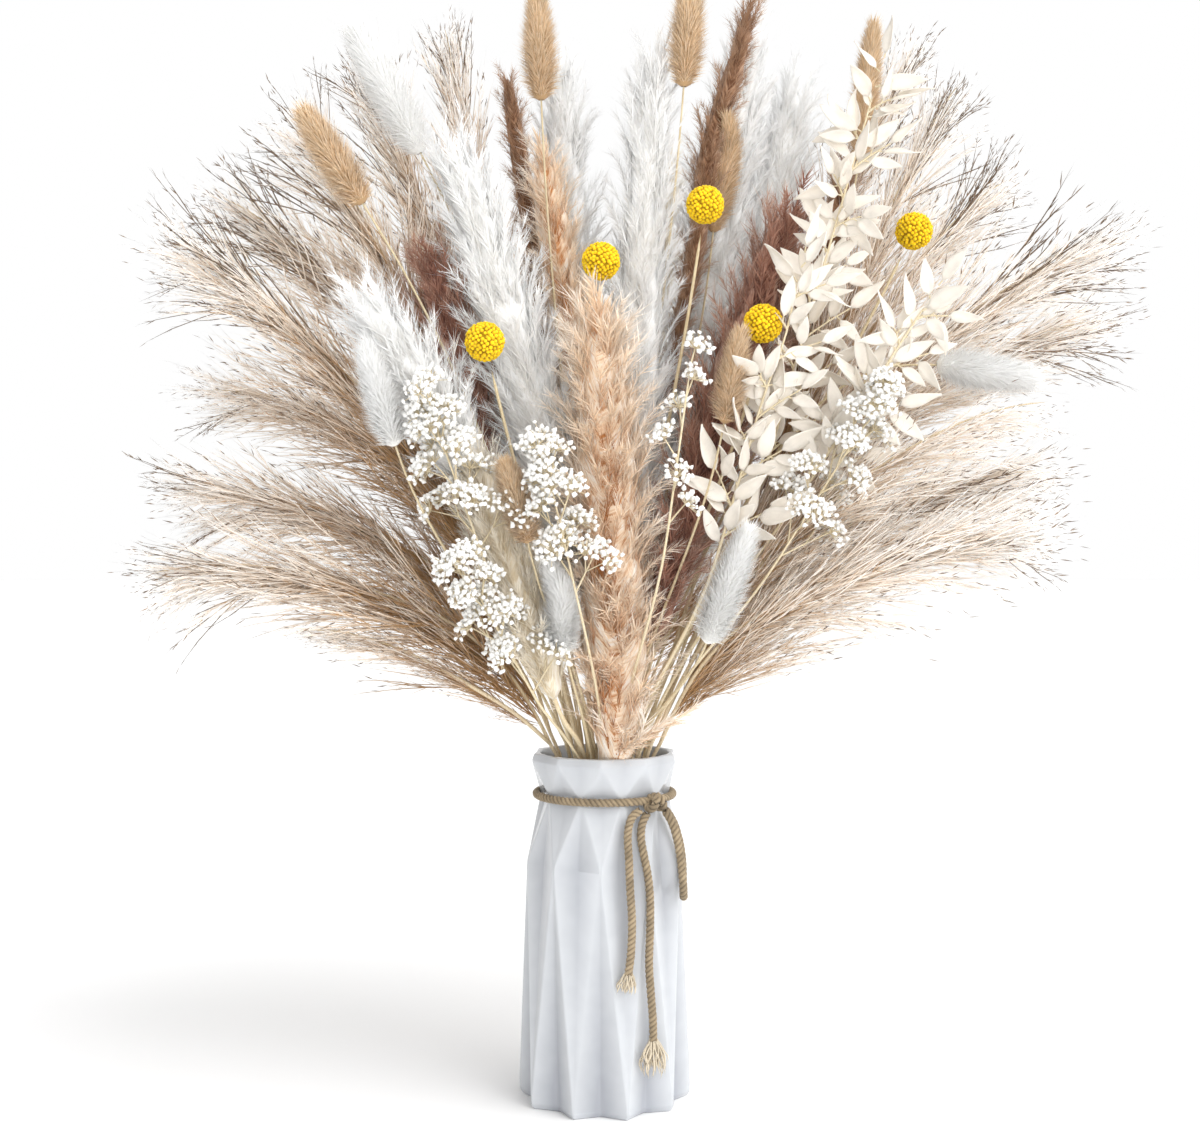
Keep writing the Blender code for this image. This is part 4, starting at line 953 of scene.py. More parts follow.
# Jute tie

def outer_radius(up):
    """Radius over the vase's peaks at a height in metres."""
    heights = [row[0] * MM for row in VASE_OUTSIDE]
    return float(np.interp(up, heights, [max(row[1:3]) * MM for row in VASE_OUTSIDE]))


def tail_route(flat):
    """A tail's (across, up) points laid on the vase's front, just clear of its ridges."""
    route = []
    for across, up in flat:
        radius = outer_radius(up * MM) + ROPE_DIAMETER / 2 + 1.6 * MM
        route.append((across * MM, -math.sqrt(radius**2 - (across * MM) ** 2), up * MM))
    return smooth_route(route, ROUTE_STEP)


def join_rope(bm, route, pitch, closed=False):
    """Three strands laid round each other along a route, marked by how deep they lie in its grooves, for
    the painted shade there.
    """
    step = 0.8 * MM
    line = evenly(smooth_route(route, step), step)
    frames = frames_along(line)
    length = step * (len(line) - 1)
    turns = length / pitch
    if closed:
        # Take up the frames' own turn, so that each strand meets its start
        first, last = frames[0], frames[-1]
        turns = max(1, round(turns)) - math.atan2(last[0] @ first[1], last[0] @ first[0]) / math.tau
    strand = ROPE_DIAMETER * 0.262
    offset = ROPE_DIAMETER / 2 - strand
    shallow = offset * 0.9
    for k in range(3):
        points = []
        for i, (place, (across, other, _)) in enumerate(zip(line, frames)):
            angle = math.tau * (k / 3 + turns * i / (len(line) - 1))
            points.append(place + (across * math.cos(angle) + other * math.sin(angle)) * offset)
        tube = new_form()
        grow_tube(tube, np.array(points), np.full(len(points), strand), 8, pointed=False, tone=k / 3)
        depth = tube.verts.layers.float["reach"]
        for vert in tube.verts:
            away = np.linalg.norm(line - np.array(vert.co), axis=1).min()
            vert[depth] = min(1.0, max(0.0, (away - shallow) / (ROPE_DIAMETER / 2 - shallow)))
        join_form(bm, tube)


def join_fuzz(bm, route, count, draw, hair):
    """Short loose fibres that stand off a rope."""
    line = evenly(np.array(route), 1.0 * MM)
    for _ in range(count):
        place, way = point_on(line, draw.random())
        out = splayed(way, draw, 90, 90)
        lean = splayed(unit(out * 0.8 + way), draw, 0, 35)
        length = draw.uniform(1.0, 2.6) * MM
        matrix = aimed(place + out * ROPE_DIAMETER * 0.42, lean, 0, 0.13 * MM, length)
        # Loose fibres take the pale colour of the strands' crowns, which is painted light
        add_copy(bm, hair, matrix, reach=1, tone=draw.random())


def frayed_end(name, route, width, length, count):
    """The loose wavy yarns that a rope's cut end opens into."""
    draw = random.Random(name)
    bm = new_form()
    before, end = np.array(route[-2:])
    way = unit(end - before)
    side = unit(np.cross(way, Y_WAY))
    front = np.cross(side, way)
    for k in range(count):
        turn, share = k * GOLDEN_ANGLE, math.sqrt((k + 0.5) / count)
        out = side * math.cos(turn) + front * math.sin(turn) * 0.55
        start = end - way * 2.0 * MM + out * share * ROPE_DIAMETER * 0.34
        reach = length * draw.uniform(0.6, 1.05)
        spread = out * share * (width / 2 - ROPE_DIAMETER * 0.34)
        wave = splayed(way, draw, 90, 90) * draw.uniform(0.7, 1.7) * MM
        phase = draw.uniform(0, math.tau)
        points = []
        for t in np.linspace(0, 1, 9):
            bulge = math.sin(math.pi * min(1.0, 0.62 * t)) ** 1.3
            points.append(start + way * reach * t + spread * bulge + wave * t * math.sin(9 * t + phase))
        radius = draw.uniform(0.26, 0.52) * MM
        radii = radius * np.array([1, 1, 0.95, 1.05, 0.9, 1.0, 0.85, 0.6, 0])
        join_tube(bm, np.array(points), radii, 4, tip=(0, 1), reach=(0.3, 1), tone=draw.random())
    return bm


class BOUQUET_OT_rope(bpy.types.Operator):
    """Lays the jute tie: the ring round the neck with its knot, the loop and the two frayed tails"""

    bl_idname = "bouquet.rope"
    bl_label = "Lay the Jute Tie"

    def execute(self, context):
        settings = context.scene.bouquet.rope
        jute = self.twisted_jute(settings)
        hues = (shaded(settings.frayed, level) for level in (0.75, 1.0, 1.1))
        loose = plant_fibre("frayed_jute", *hues, 3 * MM)
        hair = straight_hair()
        routes = {
            "rope_tail_short": tail_route(TAIL_SHORT),
            "rope_tail_long": tail_route(TAIL_LONG),
            "rope_loop": smooth_route(np.array(LOOP) * MM, ROUTE_STEP),
        }
        frays = {"rope_tail_short": (11 * MM, 12 * MM, 34), "rope_tail_long": (15 * MM, 22 * MM, 44)}
        for name, route in routes.items():
            draw = random.Random(name)
            bm = new_form()
            join_rope(bm, route, settings.pitch)
            join_fuzz(bm, route, 90, draw, hair)
            cord = finished(bm, name + "_twist", [jute], [name])
            tufts = []
            if name in frays:
                bm = frayed_end(name, route, *frays[name])
                tufts = [finished(bm, name + "_fray", [loose], [])]
        self.tie_neck(jute, settings, hair)
        return {"FINISHED"}

    def twisted_jute(self, settings):
        """Twisted jute: three strands of coarse fibre, dull, with painted shade in the grooves between them
        and painted light on their crowns.
        """
        made, tree, shader = new_material(
            "twisted_jute", 0.92, Sheen_Weight=0.15, Specular_IOR_Level=0.2
        )
        where = object_place(tree)
        # Fibres just under 0.5 mm apart, and patches 8 mm apart
        fibres = noise(tree, where, 2200.0, 4.0, 0.7)
        mixed = times_plus(tree, fibres, 0.5, read_mark(tree, "tone"))
        mixed = times_plus(tree, mixed, 0.16, noise(tree, where, 120.0))
        shade = mapped(tree, mixed, -0.12, 0.3, 0.3, 0.95)
        # Painted shade deep in the grooves and painted light on the strands' crowns, by how deep each point
        # lies
        mixed = times_plus(tree, read_mark(tree, "reach"), 0.75, shade)
        jute, painted_groove_shade = Vector(settings.jute), Vector(settings.painted_groove_shade)
        stops = ((0.05, painted_groove_shade), (0.4, jute * 0.55), (0.7, jute), (1.0, shaded(jute, 1.7)))
        coat(tree, shader, ramp(tree, mixed, *stops), fibres, 0.7, 0.25 * MM)
        return made

    def tie_neck(self, jute, settings, hair):
        """The ring round the neck, and the knot's two crossing wraps."""
        bm = new_form()
        angles = KNOT_ANGLE + np.linspace(0, math.tau, 73)
        ring = np.column_stack(
            [TIE_RADIUS * np.cos(angles), TIE_RADIUS * np.sin(angles), np.full(len(angles), TIE_HEIGHT)]
        )
        join_rope(bm, ring, settings.pitch, closed=True)
        join_fuzz(bm, ring, 220, random.Random("ring"), hair)
        for side in (-1, 1):
            angle = KNOT_ANGLE + side * math.radians(3.4)
            centre = Vector((math.cos(angle), math.sin(angle), 0)) * KNOT_RADIUS
            centre.z = TIE_HEIGHT - 0.6 * MM
            turn = Matrix.Rotation(angle, 4, "Z") @ Matrix.Rotation(side * math.radians(24), 4, "X")
            place = Matrix.Translation(centre) @ turn @ Matrix.Rotation(math.pi / 2, 4, "X")
            wrap = []
            for around in np.linspace(0, math.tau, 25):
                wrap.append(place @ (Vector((math.cos(around), math.sin(around), 0)) * WRAP_RADIUS))
            join_rope(bm, np.array(wrap), settings.pitch, closed=True)
            join_fuzz(bm, np.array(wrap), 30, random.Random(side), hair)
        finished(bm, "rope_tie_twist", [jute], ["rope_tie"])


# Vase

def ring_points(height, first, between):
    """One ring of the vase, on a pleat line and half a pleat round in turn, in mm."""
    extra = FOLD_EXTRA * ((first > between) - (first < between))
    first, between = first + extra, between - extra
    for i in range(2 * PLEATS):
        angle = math.pi * i / PLEATS + PLEAT_START
        radius = between if i % 2 else first
        yield Vector((radius * math.cos(angle), radius * math.sin(angle), height)) * MM


def raise_ring(bm, verts, points):
    """Extrudes a closed ring of vertices to new points, and returns the new ring in the same order."""
    edges = [bm.edges.get((a, b)) for a, b in zip(verts, verts[1:] + verts[:1])]
    grown = bmesh.ops.extrude_edge_only(bm, edges=edges)["geom"]
    fresh = {item for item in grown if isinstance(item, bmesh.types.BMVert)}
    ring = []
    for vert, point in zip(verts, points):
        upper = next(e.other_vert(vert) for e in vert.link_edges if e.other_vert(vert) in fresh)
        upper.co = point
        ring.append(upper)
    return ring


def fold(bm, lower, upper, way):
    """Splits each wall panel along the fold line that joins the peaks of its two rings."""
    count = len(lower)
    for i in range(way == "peak below", count, 2):
        for step in (-1, 1):
            bmesh.ops.connect_vert_pair(bm, verts=[upper[i], lower[(i + step) % count]])


class BOUQUET_OT_vase(bpy.types.Operator):
    """Makes the vase: folded outer wall with rounded edges, lip, inner wall and floor, all glazed"""

    bl_idname = "bouquet.vase"
    bl_label = "Throw the Vase"

    def execute(self, context):
        settings = context.scene.bouquet.vase
        bm = new_form()
        first = VASE_OUTSIDE[0]
        circle = bmesh.ops.create_circle(bm, cap_ends=False, segments=2 * PLEATS, radius=first[1] * MM)
        ring = list(circle["verts"])
        for vert, point in zip(ring, ring_points(*first[:3])):
            vert.co = point
        bottom = ring
        for height, ridge, valley, way in VASE_OUTSIDE[1:]:
            upper = raise_ring(bm, ring, ring_points(height, ridge, valley))
            if way != "square":
                fold(bm, ring, upper, way)
            ring = upper
        folds = [edge for edge in bm.edges if len(edge.link_faces) == 2]
        for height, radius in VASE_INSIDE:
            ring = raise_ring(bm, ring, ring_points(height, radius, radius))
        for rim in (bottom, ring):
            bmesh.ops.contextual_create(bm, geom=rim)
        bmesh.ops.recalc_face_normals(bm, faces=bm.faces)
        sharp, steep = math.radians(4), math.radians(25)
        edges = [edge for edge in folds if edge.is_valid and edge.calc_face_angle(0) > sharp]
        rims = [edge for edge in bm.edges if edge not in folds and edge.calc_face_angle(0) > steep]
        bmesh.ops.bevel(
            bm, geom=edges + rims, offset=settings.rounding, offset_type="OFFSET", segments=4,
            profile=0.5, affect="EDGES", material=-1, clamp_overlap=True,
        )
        # How far in from the outer ridges each point lies, for the glaze's painted shade in the folds and
        # inside
        depth = bm.verts.layers.float["reach"]
        for vert in bm.verts:
            inward = outer_radius(vert.co.z) - vert.co.xy.length
            vert[depth] = min(1.0, max(0.0, inward / (6 * MM)))
        vase = finished(bm, "vase_glazed", [self.white_glaze(settings)], ["vase"])
        # Keeps the facets flat between their rounded edges
        vase.modifiers.new("flat facets", "WEIGHTED_NORMAL").weight = 80
        return {"FINISHED"}

    def white_glaze(self, settings):
        """White gloss glaze on stoneware, with painted shade that darkens it in the folds and all over the
        inside, and a faint ripple that softens its highlights."""
        made, tree, shader = new_material(
            "white_gloss_glaze", 0.16, Coat_Weight=0.35, Coat_Roughness=0.05
        )
        where = object_place(tree)
        # Ripples of the glaze about 9 mm apart, and pinholes about 1 mm apart
        ripple, fine = noise(tree, where, 110.0, 1.0), noise(tree, where, 900.0)
        # Painted shade: darker the deeper a point lies in from the outer ridges, with the ripple mixed in
        depth = times_plus(tree, ripple, 0.3, read_mark(tree, "reach"))
        hue = ramp(tree, depth, (0.15, Vector(settings.glaze)), (1.1, Vector(settings.painted_recess_shade)))
        tree.links.new(mapped(tree, fine, 0.12, 0.24), shader.inputs["Roughness"])
        coat(tree, shader, hue, ripple, 0.12, 0.5 * MM)
        return made


# Pampas

# Rachis, body and hair ends of each dyed or bleached plume
PLUME_COLOURS = {
    "white": ("#F4F2EE", "#FDFDFC", "#FFFFFF"),
    "cream": ("#DCCBAC", "#F0E6D3", "#FCF8F0"),
    "apricot": ("#C0824F", "#F2D8BA", "#FFF8EF"),
    "brown": ("#68452F", "#A67F61", "#D0B49C"),
    "mauve": ("#664036", "#A67662", "#D3B09C"),
}
# How each hangs: bend of its side branches and the splay of their hairs, in degrees, and its fullness
PLUME_HABITS = {
    "white": (26, (9, 36), 1.3),
    "cream": (30, (10, 38), 1.3),
    "apricot": (52, (12, 42), 1.6),
    "brown": (44, (12, 42), 1.12),
    "mauve": (46, (12, 44), 1.5),
}


def plume_outline(share):
    """How wide a plume is along its length, as a share of the widest."""
    past_middle = max(0.0, share - 0.42) / 0.63
    return min(1.0, 0.45 + 2.4 * share) * math.sqrt(max(0.12, 1 - past_middle**2))


class BOUQUET_OT_pampas(bpy.types.Operator):
    """Grows the pampas plumes: stalks with downy side branches and fine hairs"""

    bl_idname = "bouquet.pampas"
    bl_label = "Grow the Pampas Plumes"

    def execute(self, context):
        settings = context.scene.bouquet.pampas
        hair = straight_hair()
        stem = dried_stem("bleached_culm", "#EBDDBF", "#CDB58C")
        locks, fibres = {}, {}
        for colour, hexes in PLUME_COLOURS.items():
            draw = random.Random(colour)
            bend, splay, _ = PLUME_HABITS[colour]
            hair_width = settings.hair_width / (32 * MM)
            locks[colour] = [
                plume_lock(draw, hair, 78, bend, 0.016, 0.34, hair_width, splay) for _ in range(6)
            ]
            hues = [linear(code) for code in hexes]
            light = (0.93, 1.03) if colour in ("white", "cream") else (0.72, 1.22)
            fibres[colour] = [
                plant_fibre(colour + "_pampas_hair", *hues, light=light, outer=0.3),
                packed_down(colour + "_pampas_down", *hues),
            ]
        for (row,) in rows_of("plume", "slim"):
            name, kind, _, _, _, colour = row
            bm = new_form()
            join_stalk(bm, name, kind, through_head=0.85)
            line = HeadLine(name)
            # A plume at the back is downy further down, where the front ones have their stalks
            height = line.at(0)[0][2]
            begin = -min(0.5, max(0.0, (height - 0.25) / line.length)) if row[2][1] > -60 else 0.0
            if colour == "apricot" and kind == "plume":
                begin = -0.07
            width = row[4] * MM * PLUME_HABITS[colour][2] * (1.2 if kind == "slim" else 1.0)
            self.add_core(bm, name, line, begin, width)
            self.add_locks(bm, name, line, begin, width, locks[colour], settings)
            finished(bm, name + "_plume", [stem, *fibres[colour]], [name])
        return {"FINISHED"}

    def add_core(self, bm, name, line, begin, width):
        """The packed down round the stalk, lumpy, that closes the gaps between the side branches."""
        draw = random.Random(name + "core")
        shares = np.linspace(begin, 0.95, 26)
        points = np.array([line.at(share)[0] for share in shares])
        radii = [width * 0.4 * self.outline(share, begin) for share in shares]
        radii[0] = radii[-1] = 1.0 * MM
        core = new_form()
        ends = (begin * line.length, 0.95 * line.length)
        grow_tube(core, points, radii, 14, pointed=False, rise=ends, slot=2)
        around = core.verts.layers.float["tip"]
        for vert in core.verts:
            nearest = Vector(points[np.linalg.norm(points - np.array(vert.co), axis=1).argmin()])
            # How far round from the front, in metres at the plume's mean thickness
            vert[around] = (vert.co - nearest).angle(Vector((0, -1, 0))) * width * 0.5
            vert.co = nearest.lerp(vert.co, draw.uniform(0.8, 1.15))
        join_form(bm, core)

    def outline(self, share, begin):
        """The plume's outline, drawn out down to where its down begins."""
        return plume_outline(share if share > 0.2 else 0.2 * (share - begin) / (0.2 - begin))

    def add_locks(self, bm, name, line, begin, width, locks, settings):
        """Side branches in a spiral up the head, that fill its width and draw in towards its tip."""
        draw = random.Random(name)
        middle = 15 * MM + 0.75 * width
        ratio = (1 - begin) * line.length / (235 * MM) * (width / (22 * MM)) ** 0.6
        count = round(settings.locks * ratio)
        for k in range(count):
            share = begin + (1.0 - 0.85 * middle / line.length - begin) * (k + 0.5) / count
            length = middle * draw.uniform(0.75, 1.2)
            end = share + length * 0.85 / line.length
            inner = width * 0.36 * self.outline(share, begin)
            outer = width * self.outline(min(end, 1.0), begin) * math.sqrt(draw.uniform(0.2, 1.0))
            lean = math.asin(min(0.9, max(0.05, (outer - inner) / length)))
            place, out, ahead = line.outward(share, k * GOLDEN_ANGLE + draw.uniform(-0.3, 0.3))
            along, across = leant(ahead, out, lean), leant(out, -ahead, lean)
            end = place + out * inner + along * length
            # None lies over the vase's rim
            if end[2] < VASE_HEIGHT + 14 * MM and math.hypot(end[0], end[1]) > MOUTH_RADIUS + 3 * MM:
                continue
            matrix = matrix_of(place + out * inner, across, np.cross(along, across), along, length)
            # Deepest in colour at the parting over the stalk, at the front and the back
            parting = max(0.0, abs(out[1]) - 0.55)
            lock = draw.choice(locks)
            widened = matrix @ Matrix.Diagonal((0.9 + 0.3 * draw.random(), 1, 1, 1))
            add_copy(bm, lock, widened, rise=0.3 - 2.4 * parting)


# Reed grass

def hides_tail(start, end):
    """Whether a branch between two places passes in front of a bunny tail."""
    branch = start + (end - start) * np.linspace(0, 1, 12)[:, None]
    for (row,) in rows_of("bunny"):
        for tail in np.linspace(row[2], row[3], 4) * MM:
            aside = branch - tail
            if ((np.hypot(aside[:, 0], aside[:, 2]) < row[4] * MM) & (aside[:, 1] < 0)).any():
                return True
    return False


class BOUQUET_OT_reeds(bpy.types.Operator):
    """Grows the reed grass: two culms in each clump, each with a wispy panicle"""

    bl_idname = "bouquet.reeds"
    bl_label = "Grow the Reed Grass"

    def execute(self, context):
        settings = context.scene.bouquet.reed
        hair = straight_hair()
        stem = dried_stem("dried_reed_culm", "#EADCC0", "#C0A67C")
        hues = linear("#B08A5F"), linear("#F1E4D5"), linear("#FFFEFD")
        down = plant_fibre("silky_reed_hair", *hues, 18 * MM, light=(0.88, 1.34), outer=0.36)
        hues = linear("#A08770"), linear("#7C6957"), Vector(settings.husk)
        husk = plant_fibre("dry_reed_husk", *hues, 9 * MM, sheen=0.05)
        draw = random.Random("reeds")
        grain = spikelet()
        woolly = [reed_branch(draw, hair, grain, 5, 50, 8) for _ in range(8)]
        wiry = [reed_branch(draw, hair, grain, 4, 12, 26, wiry=True) for _ in range(6)]
        for rows in rows_of("reed"):
            bm = new_form()
            for row in rows:
                join_stalk(bm, row[0], "reed", thin=0.25)
                self.add_panicle(bm, row, woolly, wiry, settings)
            finished(bm, rows[0][0] + "_panicle", [stem, down, husk], [rows[0][0]])
        return {"FINISHED"}

    def add_panicle(self, bm, row, woolly, wiry, settings):
        """Long fine branches that fill the head like a broom, all sweeping towards its tip. More of them
        are wiry and bear dark spikelets on the taller culms."""
        name, _, _, _, width, _ = row
        line = HeadLine(name)
        draw = random.Random(name)
        # The lowest branches leave the culm not far above the vase
        begin = float(np.interp(15 * MM, line.points[:, 2] - VASE_HEIGHT, line.shares))
        begin = max(-0.85, begin)
        count = round(settings.branches * math.sqrt(line.length / (165 * MM)) * (0.3 + 0.7 * width / 34))
        bare = 0.26 if row[3][2] > 420 else 0.06
        for k in range(count):
            share = begin + (0.74 - begin) * ((k + draw.random()) / count) ** 1.05
            end = min(share + draw.uniform(0.42, 0.72), 1.05 - 0.12 * draw.random())
            wide = 0.55 + 0.45 * math.sin(math.pi * min(1.0, max(0.0, 0.15 + 0.78 * end)))
            turn = k * GOLDEN_ANGLE + draw.uniform(-0.4, 0.4)
            place, out, _ = line.outward(share, turn)
            goal, goal_out, _ = line.outward(end, turn)
            branch = draw.choice(wiry if end > 0.8 and draw.random() < bare else woolly)
            # The wiry ones and a quarter of the others stand off on their own
            loose = 1.85 if branch in wiry or draw.random() < 0.25 else 1.2
            goal = goal + goal_out * loose * width * MM * wide * math.sqrt(draw.uniform(0.02, 1.0))
            goal[2] -= 3 * MM
            if hides_tail(place, goal):
                continue
            along = goal - place
            length = np.linalg.norm(along)
            along /= length
            aside = unit(np.cross(along, out))
            matrix = matrix_of(place, np.cross(aside, along), aside, along, length)
            # The clumps on the left are golden low down
            add_copy(bm, branch, matrix, rise=share if row[2][0] > 0 else 1.4 * share - 0.45)


# Bunny tails

class BOUQUET_OT_bunny_tails(bpy.types.Operator):
    """Grows the bunny tails: soft egg-shaped heads of fine hair on thin stems"""

    bl_idname = "bouquet.bunny_tails"
    bl_label = "Grow the Bunny Tails"

    def execute(self, context):
        settings = context.scene.bouquet.bunny
        hair = straight_hair()
        stem = dried_stem("thin_dried_stem", "#E3D5B5", "#B8A27A")
        tan = [linear(code) for code in ("#C29E74", "#E8CCA6", "#FAEEDC")]
        white = [linear(code) for code in ("#F5F4F0", "#FCFCFB", "#FFFFFF")]
        colours = {
            "tan": plant_fibre("tan_bunny_tail", *tan, 10 * MM),
            "white": plant_fibre("bleached_bunny_tail", *white, 10 * MM, light=(0.93, 1.03)),
        }
        for (row,) in rows_of("bunny"):
            bm = new_form()
            join_stalk(bm, row[0], "bunny", through_head=0.8)
            self.add_head(bm, row, hair, settings)
            finished(bm, row[0] + "_tail", [stem, colours[row[5]]], [row[0]])
        return {"FINISHED"}

    def add_head(self, bm, row, hair, settings):
        """An egg-shaped core and a dense coat of hairs that all lean towards the tip."""
        name, _, _, _, width, _ = row
        line = HeadLine(name)
        draw = random.Random(name)
        core = 0.6 * width * MM

        def radius(share):
            return core * math.sqrt(max(0.0, 1 - abs(1.78 * share - 0.78) ** 2.2) + 0.004)

        shares = np.array([-0.03, 0.0, 0.05, 0.13, 0.25, 0.4, 0.55, 0.7, 0.82, 0.91, 0.97])
        points = np.array([line.at(share)[0] for share in shares])
        radii = [0.25 * core] + [radius(max(share, 0.012)) for share in shares[1:-1]] + [0]
        join_tube(bm, points, radii, 10, reach=(0.1, 0.4), tip=(0.0, 0.2), slot=1)
        shares = np.linspace(0, 1, 200)
        reached = np.cumsum([radius(share) for share in shares])
        for mesh_face in hair.polygons:
            mesh_face.material_index = 1
        full = (width * MM - core) / math.sin(math.radians(34))
        for k in range(settings.hairs):
            share = float(np.interp((k + 0.5) / settings.hairs * reached[-1], reached, shares)) * 0.97
            place, out, ahead = line.outward(share, k * GOLDEN_ANGLE)
            lean = math.radians(draw.uniform(-12, 12) + 68 - 46 * share)
            way = leant(ahead, out, lean)
            length = full * draw.uniform(0.8, 1.4) * (1.05 - 0.3 * share) * min(1.0, 0.55 + 3 * share)
            long = draw.random() < 0.03
            matrix = facing(
                place + out * radius(share) * 0.9, splayed(way, draw, 0, 16), out,
                (0.4 if long else 0.6) * MM, length * (1.45 if long else 1.0),
            )
            add_copy(bm, hair, matrix, reach=draw.uniform(0.1, 0.75), rise=share, tone=draw.random())


# Billy balls

class BOUQUET_OT_billy_balls(bpy.types.Operator):
    """Grows the billy balls: a yellow ball of tiny florets on a smooth stem"""

    bl_idname = "bouquet.billy_balls"
    bl_label = "Grow the Billy Balls"

    def execute(self, context):
        settings = context.scene.bouquet.ball
        stem = dried_stem("smooth_dried_stem", "#E8DBBB", "#C6AE80")
        yellow = Vector(settings.yellow)
        # Dried craspedia: tight matt florets, with painted shade, orange-brown, between them and a painted
        # highlight, lemon, at their tops
        hues = yellow * 0.6, shaded(yellow, 1.1), shaded(yellow, 1.4)
        florets = plant_fibre("dried_craspedia", *hues, 5 * MM, sheen=0.1)
        floret = self.floret()
        for (row,) in rows_of("ball"):
            name = row[0]
            bm = new_form()
            join_stalk(bm, name, "ball", through_head=0.55)
            finished(bm, name + "_stalk", [stem], [name + "_stem"])
            bm = new_form()
            core = new_form()
            # The core shows between the florets in their darkest colour, painted shade
            bmesh.ops.create_icosphere(core, subdivisions=2, radius=BALL_RADIUS * 0.83)
            bmesh.ops.translate(core, verts=core.verts, vec=LINES[name][-1])
            join_form(bm, core)
            draw = random.Random(name)
            for k in range(settings.florets):
                up = 1 - 2 * (k + 0.5) / settings.florets
                turn = k * GOLDEN_ANGLE
                flat = math.sqrt(1 - up * up)
                out = np.array([flat * math.cos(turn), flat * math.sin(turn), up])
                out = unit(out + np.array([draw.uniform(-0.05, 0.05) for _ in range(3)]))
                size = draw.uniform(0.85, 1.15)
                matrix = aimed(
                    LINES[name][-1] + out * BALL_RADIUS * 0.81, out, draw.uniform(0, 1),
                    2.3 * MM * size, BALL_RADIUS * 0.13 * size,
                )
                add_copy(bm, floret, matrix, tone=draw.random())
            finished(bm, name + "_florets", [florets], [name])
        return {"FINISHED"}

    def floret(self):
        """A floret of unit width: a low six-sided dome."""
        bm = new_form()
        points = np.array([[0, 0, 0], [0, 0, 0.7], [0, 0, 1.0]])
        # Dark at its foot and pale at its top: painted shade between florets and a painted highlight on top
        grow_tube(bm, points, [0.5, 0.37, 0], 6, tip=(0.0, 1.0), reach=(0.0, 1.0))
        return to_template(bm, "floret")


# Baby's breath

class BOUQUET_OT_babys_breath(bpy.types.Operator):
    """Grows the baby's breath: fine forking stems with clusters of tiny white flowers"""

    bl_idname = "bouquet.babys_breath"
    bl_label = "Grow the Baby's Breath"

    def execute(self, context):
        settings = context.scene.bouquet.breath
        stem = dried_stem("fine_cream_stem", "#EFE3C8", "#CDB98E")
        petals = Vector(settings.petals)
        white = plant_fibre(
            "dried_gypsophila_petal", shaded(petals, 0.96), petals, petals, 8 * MM, 0.7, 0.1, (0.95, 1.03)
        )
        draw = random.Random("umbels")
        flowers = [self.flower(draw) for _ in range(5)]
        umbels = [self.umbel(draw, flowers, settings) for _ in range(6)]
        for (row,) in rows_of("breath"):
            bm = new_form()
            join_stalk(bm, row[0], "breath", thin=0.5)
            self.add_spray(bm, row, umbels)
            finished(bm, row[0] + "_spray", [stem, white], [row[0]])
        return {"FINISHED"}

    def flower(self, draw):
        """A double flower of unit width: a ruffled ball of petals."""
        bm = new_form()
        bmesh.ops.create_icosphere(bm, subdivisions=1, radius=0.5)
        for vert in bm.verts:
            vert.co = vert.co * draw.uniform(0.45, 1.4)
            vert[bm.verts.layers.float["tip"]] = 1.0
        give_slot(bm, 1)
        return to_template(bm, "flower")

    def umbel(self, draw, flowers, settings):
        """A small fork of threads, each with a flower, in metres."""
        bm = new_form()
        count = draw.randint(19, 24)
        for k in range(count):
            tilt = math.radians(84 * math.sqrt((k + 0.3) / count) + draw.uniform(-6, 6))
            turn = k * GOLDEN_ANGLE
            aside = np.array([math.cos(turn), math.sin(turn), 0.0])
            way = leant(Z_WAY, aside, tilt)
            length = draw.uniform(4.5, 9.5) * MM
            join_thread(bm, [(0, 0, 0), way * length], 0.26, 0.18, sides=3)
            size = settings.flower_width * draw.uniform(0.8, 1.2)
            matrix = aimed(way * length, unit(way + 0.5 * Z_WAY), draw.uniform(0, 2), size, size)
            add_copy(bm, draw.choice(flowers), matrix, tone=draw.random())
        return to_template(bm, "umbel", closed=False)

    def add_spray(self, bm, row, umbels):
        """Side branches up the stem, each forking into threads that end in umbels."""
        name, _, _, _, width, _ = row
        line = HeadLine(name)
        draw = random.Random(name)
        count = max(6, round(line.length / (7.5 * MM)))
        for k in range(count + 1):
            if width < 20 and k % 2:
                continue
            share = min(1.0, (k + 0.3) / count)
            place, out, ahead = line.outward(share, k * GOLDEN_ANGLE)
            lean = math.radians(draw.uniform(30, 58) * (1 - 0.5 * share))
            way = leant(ahead, out, lean)
            length = width * MM * draw.uniform(0.7, 1.05) * (1 - 0.45 * share)
            knee = place + way * length * 0.5 + 1.2 * MM * Z_WAY
            end = place + way * length + 2.0 * MM * Z_WAY
            join_thread(bm, [place, knee, end], 0.55, 0.42, 0.32)
            for fork in range(3 if width > 20 else 1):
                aim = splayed(unit(way + 0.25 * Z_WAY), draw, 18, 48) if fork else way
                far = end if not fork else knee + aim * length * draw.uniform(0.45, 0.7)
                if fork:
                    join_thread(bm, [knee, (knee + far) / 2, far], 0.4, 0.34, 0.3, sides=3)
                add_copy(bm, draw.choice(umbels), aimed(far, aim, draw.uniform(0, math.tau), 1, 1))


# Ruscus

